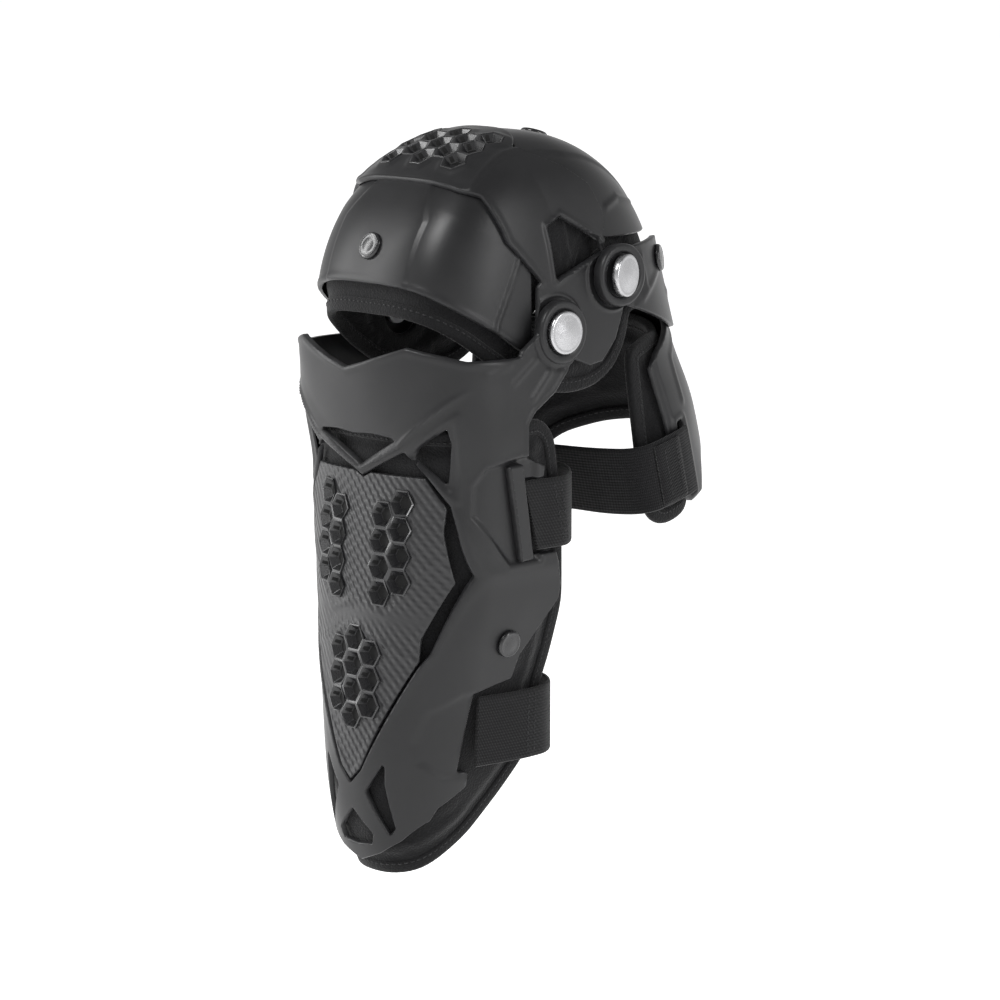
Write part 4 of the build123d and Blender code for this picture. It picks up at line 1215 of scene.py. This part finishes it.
def inflate(obj, pinned, rest, normals, sign, grow):
    """Fill the pad with cloth pressure; growth goes to the leg's side and is capped."""
    group = obj.vertex_groups.new(name="seam")
    group.add([int(i) for i in np.nonzero(pinned)[0]], 1.0, "REPLACE")
    cloth = obj.modifiers.new("filling", "CLOTH")
    settings = cloth.settings
    settings.quality = 4
    settings.mass = 0.25
    settings.tension_stiffness = settings.compression_stiffness = 12
    settings.shear_stiffness = 4
    settings.bending_stiffness = 0.3
    settings.use_pressure = True
    settings.uniform_pressure_force = 4
    settings.shrink_min = -0.03
    settings.vertex_group_mass = "seam"
    settings.effector_weights.gravity = 0
    cloth.point_cache.frame_start, cloth.point_cache.frame_end = 1, CLOTH_FRAMES
    scene = bpy.context.scene
    for number in range(1, CLOTH_FRAMES + 1):
        scene.frame_set(number)
    shaped = obj.evaluated_get(bpy.context.evaluated_depsgraph_get()).to_mesh()
    found = np.zeros(len(shaped.vertices) * 3)
    shaped.vertices.foreach_get("co", found)
    moved = found.reshape(-1, 3) / MM - rest
    moved = np.nan_to_num(moved)
    out = np.sum(moved * normals, axis=1) * sign
    sideways = moved - normals * (out * sign)[:, None]
    limit = np.minimum(SIDEWAYS / np.maximum(np.linalg.norm(sideways, axis=1), 1e-6), 1.0)
    out = np.where(sign > 0, np.clip(out, -SINK, SHELL_ROOM), np.clip(out, -SINK, grow))
    final = rest + sideways * limit[:, None] + normals * (out * sign)[:, None]
    final[pinned] = rest[pinned]
    obj.modifiers.remove(cloth)
    obj.data.vertices.foreach_set("co", (final * MM).ravel())
    obj.data.update()
    scene.frame_set(1)


def soft_pad(name, grid, distance, half, body, node, grow=2.2, thin=1.7, bound=150):
    """A foam liner between two cloths: thin stitched rim, seam groove, filled middle, bound edge."""
    p, n, faces = trim(grid, distance)
    n = unit(n)
    rim = boundary_loops(faces)
    on_rim = sorted({v for e in rim for v in e})
    margin = np.min(np.linalg.norm(p[:, None] - p[on_rim][None], axis=2), axis=1)
    depth = thin + (half - thin) * step(margin, 8.5, 17.0) - 0.8 * bead(margin - 8.4, 1.1)
    inward = np.zeros_like(p)
    for a, b in rim:
        across = np.cross(n[a], p[b] - p[a])
        inward[a] += across
        inward[b] += across
    inward = unit(inward)
    count = len(p)
    place = {v: count * 2 + i for i, v in enumerate(on_rim)}
    rest = np.vstack([p + n * depth[:, None], p - n * depth[:, None], (p - inward * 0.8)[on_rim]])
    out_faces = []
    for face in faces:
        out_faces.append(list(face))
        out_faces.append([v + count for v in reversed(face)])
    for a, b in rim:
        out_faces.append([b, a, place[a], place[b]])
        out_faces.append([place[b], place[a], a + count, b + count])
    pad = make_object(name, rest, out_faces, LINER, body, node, sharp=80)
    every = np.vstack([n, n, n[on_rim]])
    sign = np.concatenate([np.ones(count), -np.ones(count), np.ones(len(on_rim))])
    pinned = np.concatenate([margin < 9.6, margin < 9.6, np.ones(len(on_rim), bool)])
    inflate(pad, pinned, rest, every, sign, grow)
    smooth = pad.modifiers.new("smooth", "SUBSURF")
    smooth.levels = smooth.render_levels = 1
    tapes, threads = [], []
    for ring in ordered_loops(rim):
        if np.linalg.norm(np.diff(p[ring], axis=0), axis=1).sum() < bound:
            continue
        values = closed_resample(np.hstack([p[ring], n[ring], inward[ring]]), 3.4)
        line, up, into = values[:, :3], unit(values[:, 3:6]), values[:, 6:]
        into = unit(into - up * np.sum(into * up, axis=1, keepdims=True))
        tape, stitches = swept_binding(line, up, into, thin + 0.75)
        tapes.append(tape)
        threads += stitches
    v, f = join_parts(tapes)
    make_object(f"{name}_binding", v, f, BINDING, body, sharp=80)
    v, f = join_parts(threads)
    make_object(f"{name}_stitches", v, f, THREAD, body, sharp=80)


SHIN_PAD_OUTLINE = [
    (-110, -50), (-30, -50), (-10, -46), (0, -55), (5, -75), (12, -110), (17, -148),
    (12, -180), (8, -195), (5, -232), (-12, -252), (-33, -273), (-60, -289), (-75, -294),
    (-110, -294),
]
KNEE_PAD_OUTLINE = [
    (-120, 15), (-78, 15), (-66, 7), (-53, -2), (-40, -12), (-20, -25), (0, -32), (20, -34.5), (38, -32),
    (52, -24), (62, -8), (64, 6), (120, 6), (120, 120), (-120, 120),
]
THIGH_PAD_OUTLINE = [
    (-110, 50), (-40, 50), (-14, 42), (-6, 42), (-2, 60), (6, 100), (8, 136), (0, 144), (-110, 144),
]
THIGH_PAD_ARCH = mirrored([(0, 113), (30, 115), (50, 119), (58, 126), (63, 140), (63, 170)])
PAD_CELL = 3.0

grid = cuff_grid(SHIN_STATIONS, SHIN_EXPONENT, 8.7, -292, -46, 20, PAD_CELL)
d = polygon_distance(side(grid.reshape(-1, 3)), SHIN_PAD_OUTLINE)
soft_pad("shin_liner", grid, d, 4.1, "shin_guard", "shin_pad")

grid = dome_grid(9.3, -110, 250, PAD_CELL, 0.0)
s = side(grid.reshape(-1, 3))
d = polygon_distance(s, KNEE_PAD_OUTLINE)
for y, z in ((0, 0), (UPPER_Y, UPPER_Z)):
    d = np.maximum(d, 13.1 - np.hypot(s[:, 0] - y, s[:, 1] - z))
soft_pad("knee_liner", grid, d, 3.4, "knee_cup", "knee_pad", grow=1.6)

grid = cuff_grid(THIGH_PAD_STATIONS, THIGH_EXPONENT, 4.6, 46, 146, 20, PAD_CELL, thigh_place)
q = thigh_local(grid.reshape(-1, 3))
d = np.maximum(polygon_distance(q[:, 1:], THIGH_PAD_OUTLINE), -polygon_distance(q[:, [0, 2]], THIGH_PAD_ARCH))
soft_pad("thigh_liner", grid, d, 4.3, "thigh_cuff", "thigh_pad")


# ------------------------------------------------------------------ straps
def curve(points, spacing=1.6):
    """A smooth line through points, cut into equal steps."""
    pts = np.asarray(points, float)
    ends = np.vstack([2 * pts[0] - pts[1], pts, 2 * pts[-1] - pts[-2]])
    line = []
    for i in range(1, len(ends) - 2):
        a, b, c, d = ends[i - 1:i + 3]
        for t in np.linspace(0, 1, 16, endpoint=False):
            line.append(0.5 * (
                2 * b + (c - a) * t + (2 * a - 5 * b + 4 * c - d) * t**2 + (3 * b - a - 3 * c + d) * t**3
            ))
    line.append(pts[-1])
    line = np.array(line)
    length = np.linalg.norm(np.diff(line, axis=0), axis=1).sum()
    return resample(line, int(length / spacing) + 2)


def band(name, path, low, high, body, node, start=None, place=None, sag=None, thickness=2.2):
    """Woven strap along a path, with rounded edges, its own weave coordinates and a slight wave."""
    line = curve(path)
    run = np.concatenate([[0], np.cumsum(np.linalg.norm(np.diff(line, axis=0), axis=1))])
    width = high - low
    rows = np.concatenate([[0, 0.5, 1.3], np.linspace(3, width - 3, 12), [width - 1.3, width - 0.5, width]])
    edge = np.minimum(rows, width - rows)
    half = thickness / 2 * np.sqrt(np.clip(1 - (1 - np.clip(edge / 1.3, 0, 1)) ** 2, 0.08, 1))
    middle, uv = [], []
    for row in rows:
        first = 0.0 if start is None else start(row / width)
        where = np.linspace(first, run[-1] - first, len(line))
        xy = np.stack([np.interp(where, run, line[:, k]) for k in (0, 1)], 1)
        level = np.full(len(line), low + row)
        if sag is not None:
            level += sag(where / run[-1], row / width)
        middle.append(np.column_stack([xy, level]))
        uv.append(np.column_stack([where, np.full(len(line), row)]) * MM)
    middle = np.array(middle)
    if place is not None:
        middle = place(middle)
    normals = grid_normals(middle)
    outer, inner = middle + normals * half[:, None, None], middle - normals * half[:, None, None]
    rows_count, cols = middle.shape[:2]
    index = np.arange(rows_count * cols).reshape(rows_count, cols)
    shift = rows_count * cols
    faces = []
    for i in range(rows_count - 1):
        for k in range(cols - 1):
            face = [index[i, k], index[i, k + 1], index[i + 1, k + 1], index[i + 1, k]]
            faces.append(face)
            faces.append([v + shift for v in reversed(face)])
    ring = list(index[0]) + list(index[1:, -1]) + list(index[-1, -2::-1]) + list(index[-2:0:-1, 0])
    for i in range(len(ring)):
        a, b = ring[i - 1], ring[i]
        faces.append([b, a, a + shift, b + shift])
    coords = np.vstack([np.array(uv).reshape(-1, 2)] * 2)
    verts = np.vstack([outer.reshape(-1, 3), inner.reshape(-1, 3)])
    make_object(name, verts, faces, WEBBING, body, node, sharp=80, uv=coords)
    return middle, normals


def stitch_rows(name, middle, normals, columns, body, raise_by=1.15):
    """Rows of stitches across a strap, on both faces."""
    threads = []
    for column in columns:
        line, up = middle[3:-3, column], normals[3:-3, column]
        steps = np.concatenate([[0], np.cumsum(np.linalg.norm(np.diff(line, axis=0), axis=1))])
        for s_ in np.arange(1.5, steps[-1], 3.0):
            c = np.array([np.interp(s_, steps, line[:, k]) for k in range(3)])
            n = unit(np.array([np.interp(s_, steps, up[:, k]) for k in range(3)]))
            along = unit(line[-1] - line[0])
            for sign in (1, -1):
                threads.append(capsule(c + n * sign * raise_by, along, n * sign, 2.2, 0.4))
    v, f = join_parts(threads)
    make_object(name, v, f, THREAD, body, sharp=80)


def both_sides(path):
    return [(-x, y) for x, y in path] + [(x, y) for x, y in reversed(path[:-1])]


UPPER_STRAP_PATH = [(66.9, -24), (67, -12), (67.4, 0), (66, 9), (58, 19), (46, 28), (28, 37), (0, 42)]
LOWER_STRAP_PATH = [(50.6, -44), (52.6, -20), (53, -4), (51, 8), (42, 18.5), (26, 28), (0, 33)]
THIGH_STRAP_PATH = [
    (74.6, -24.5), (76.4, -18), (77.1, -10), (77.1, 0), (75.2, 9), (66, 15.5), (43, 18.5), (20, 19.5), (0, 20),
]


def wave(where, row):
    return 0.7 * np.sin(where * 19) * (0.4 + 0.6 * row) * np.sin(pi * where)


middle, normals = band(
    "upper_strap", both_sides(UPPER_STRAP_PATH), -115.5, -77.5, "shin_guard", "upper_calf_strap",
    start=lambda row: 10.4 * (1 - row), sag=wave,
)
last = middle.shape[1] - 1
stitch_rows("upper_strap_stitches", middle, normals, [13, 16, last - 16, last - 13], "shin_guard")
middle, normals = band(
    "lower_strap", both_sides(LOWER_STRAP_PATH), -232, -194, "shin_guard", "lower_calf_strap",
    start=lambda row: 0.5 + 2.0 * row, sag=wave,
)
last = middle.shape[1] - 1
stitch_rows("lower_strap_stitches", middle, normals, [22, 25, last - 25, last - 22], "shin_guard")
middle, normals = band(
    "thigh_strap_band", both_sides(THIGH_STRAP_PATH), 94, 132, "thigh_cuff", "thigh_strap",
    place=thigh_place, sag=lambda where, row: 3.0 * np.sin(pi * where) ** 4 + wave(where, row),
)
TAB_PATH = [(77.8, -14.4), (79.0, -12), (79.3, -5), (79.2, 2), (78.4, 4.4)]
for name, sign in SIDES:
    path = [(sign * x, y) for x, y in TAB_PATH]
    middle, normals = band(
        f"strap_fold_{name}", path, 96, 130, "thigh_cuff", f"thigh_strap_end_{name}", place=thigh_place, thickness=1.6
    )
    stitch_rows(f"strap_fold_stitches_{name}", middle, normals, [3, 9], "thigh_cuff", 0.85)


# ------------------------------------------------------------------ floor, light and camera
FLOOR, REACH = -0.46, 9.0
floor_mesh = bpy.data.meshes.new("floor")
corners = [(-REACH, -REACH), (REACH, -REACH), (REACH, REACH), (-REACH, REACH)]
floor_mesh.from_pydata([(x, y, FLOOR) for x, y in corners], [], [(0, 1, 2, 3)])
floor = bpy.data.objects.new("floor", floor_mesh)
bpy.context.scene.collection.objects.link(floor)
pale = Nodes("pale_floor", (0.9, 0.9, 0.9), 0.9, Emission_Color=(1, 1, 1, 1), Emission_Strength=0.8)
floor_mesh.materials.append(pale.material)
floor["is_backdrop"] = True

world = bpy.data.worlds.new("studio")
bpy.context.scene.world = world
world.use_nodes = True
sky = world.node_tree.nodes["Background"]
sky.inputs["Strength"].default_value = 1.02
direction = world.node_tree.nodes.new("ShaderNodeTexCoord")
height = world.node_tree.nodes.new("ShaderNodeSeparateXYZ")
fade = world.node_tree.nodes.new("ShaderNodeMapRange")
for key, value in (("From Min", 0.12), ("From Max", 0.55), ("To Min", 1.0), ("To Max", 0.3)):
    fade.inputs[key].default_value = value
world.node_tree.links.new(direction.outputs["Generated"], height.inputs[0])
world.node_tree.links.new(height.outputs["Z"], fade.inputs["Value"])
world.node_tree.links.new(fade.outputs["Result"], sky.inputs["Color"])
bpy.context.scene.view_settings.view_transform = "Standard"


def area_light(name, place, target, size, power):
    light = bpy.data.lights.new(name, "AREA")
    light.shape, light.size, light.size_y, light.energy = "RECTANGLE", size[0], size[1], power
    obj = bpy.data.objects.new(name, light)
    obj.location = place
    obj.rotation_mode = "QUATERNION"
    obj.rotation_quaternion = (Vector(target) - Vector(place)).to_track_quat("-Z", "Y")
    bpy.context.scene.collection.objects.link(obj)
    return obj


MIDDLE = (0, 0, -0.08)
area_light("key", (0.1, -1.3, 1.5), MIDDLE, (0.6, 0.6), 24)
area_light("left_strip", (-1.4, -1.1, 0.4), MIDDLE, (0.25, 1.6), 17)
area_light("right_fill", (1.7, 0.5, 0.6), MIDDLE, (0.3, 1.4), 14)

AZIMUTH, ELEVATION, DISTANCE = radians(47), radians(9.7), 2.1394
camera_data = bpy.data.cameras.new("camera")
camera_data.sensor_width = 36
camera_data.lens = 18 / np.tan(radians(14.4) / 2)
camera_data.dof.use_dof = False
camera = bpy.data.objects.new("camera", camera_data)
back = Vector((sin(AZIMUTH) * cos(ELEVATION), -cos(AZIMUTH) * cos(ELEVATION), sin(ELEVATION)))
camera.location = Vector((0.022916, 0.000530, -0.095932)) + back * DISTANCE
camera.rotation_mode = "QUATERNION"
camera.rotation_quaternion = (-back).to_track_quat("-Z", "Y")
bpy.context.scene.collection.objects.link(camera)
bpy.context.scene.camera = camera

low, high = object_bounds()
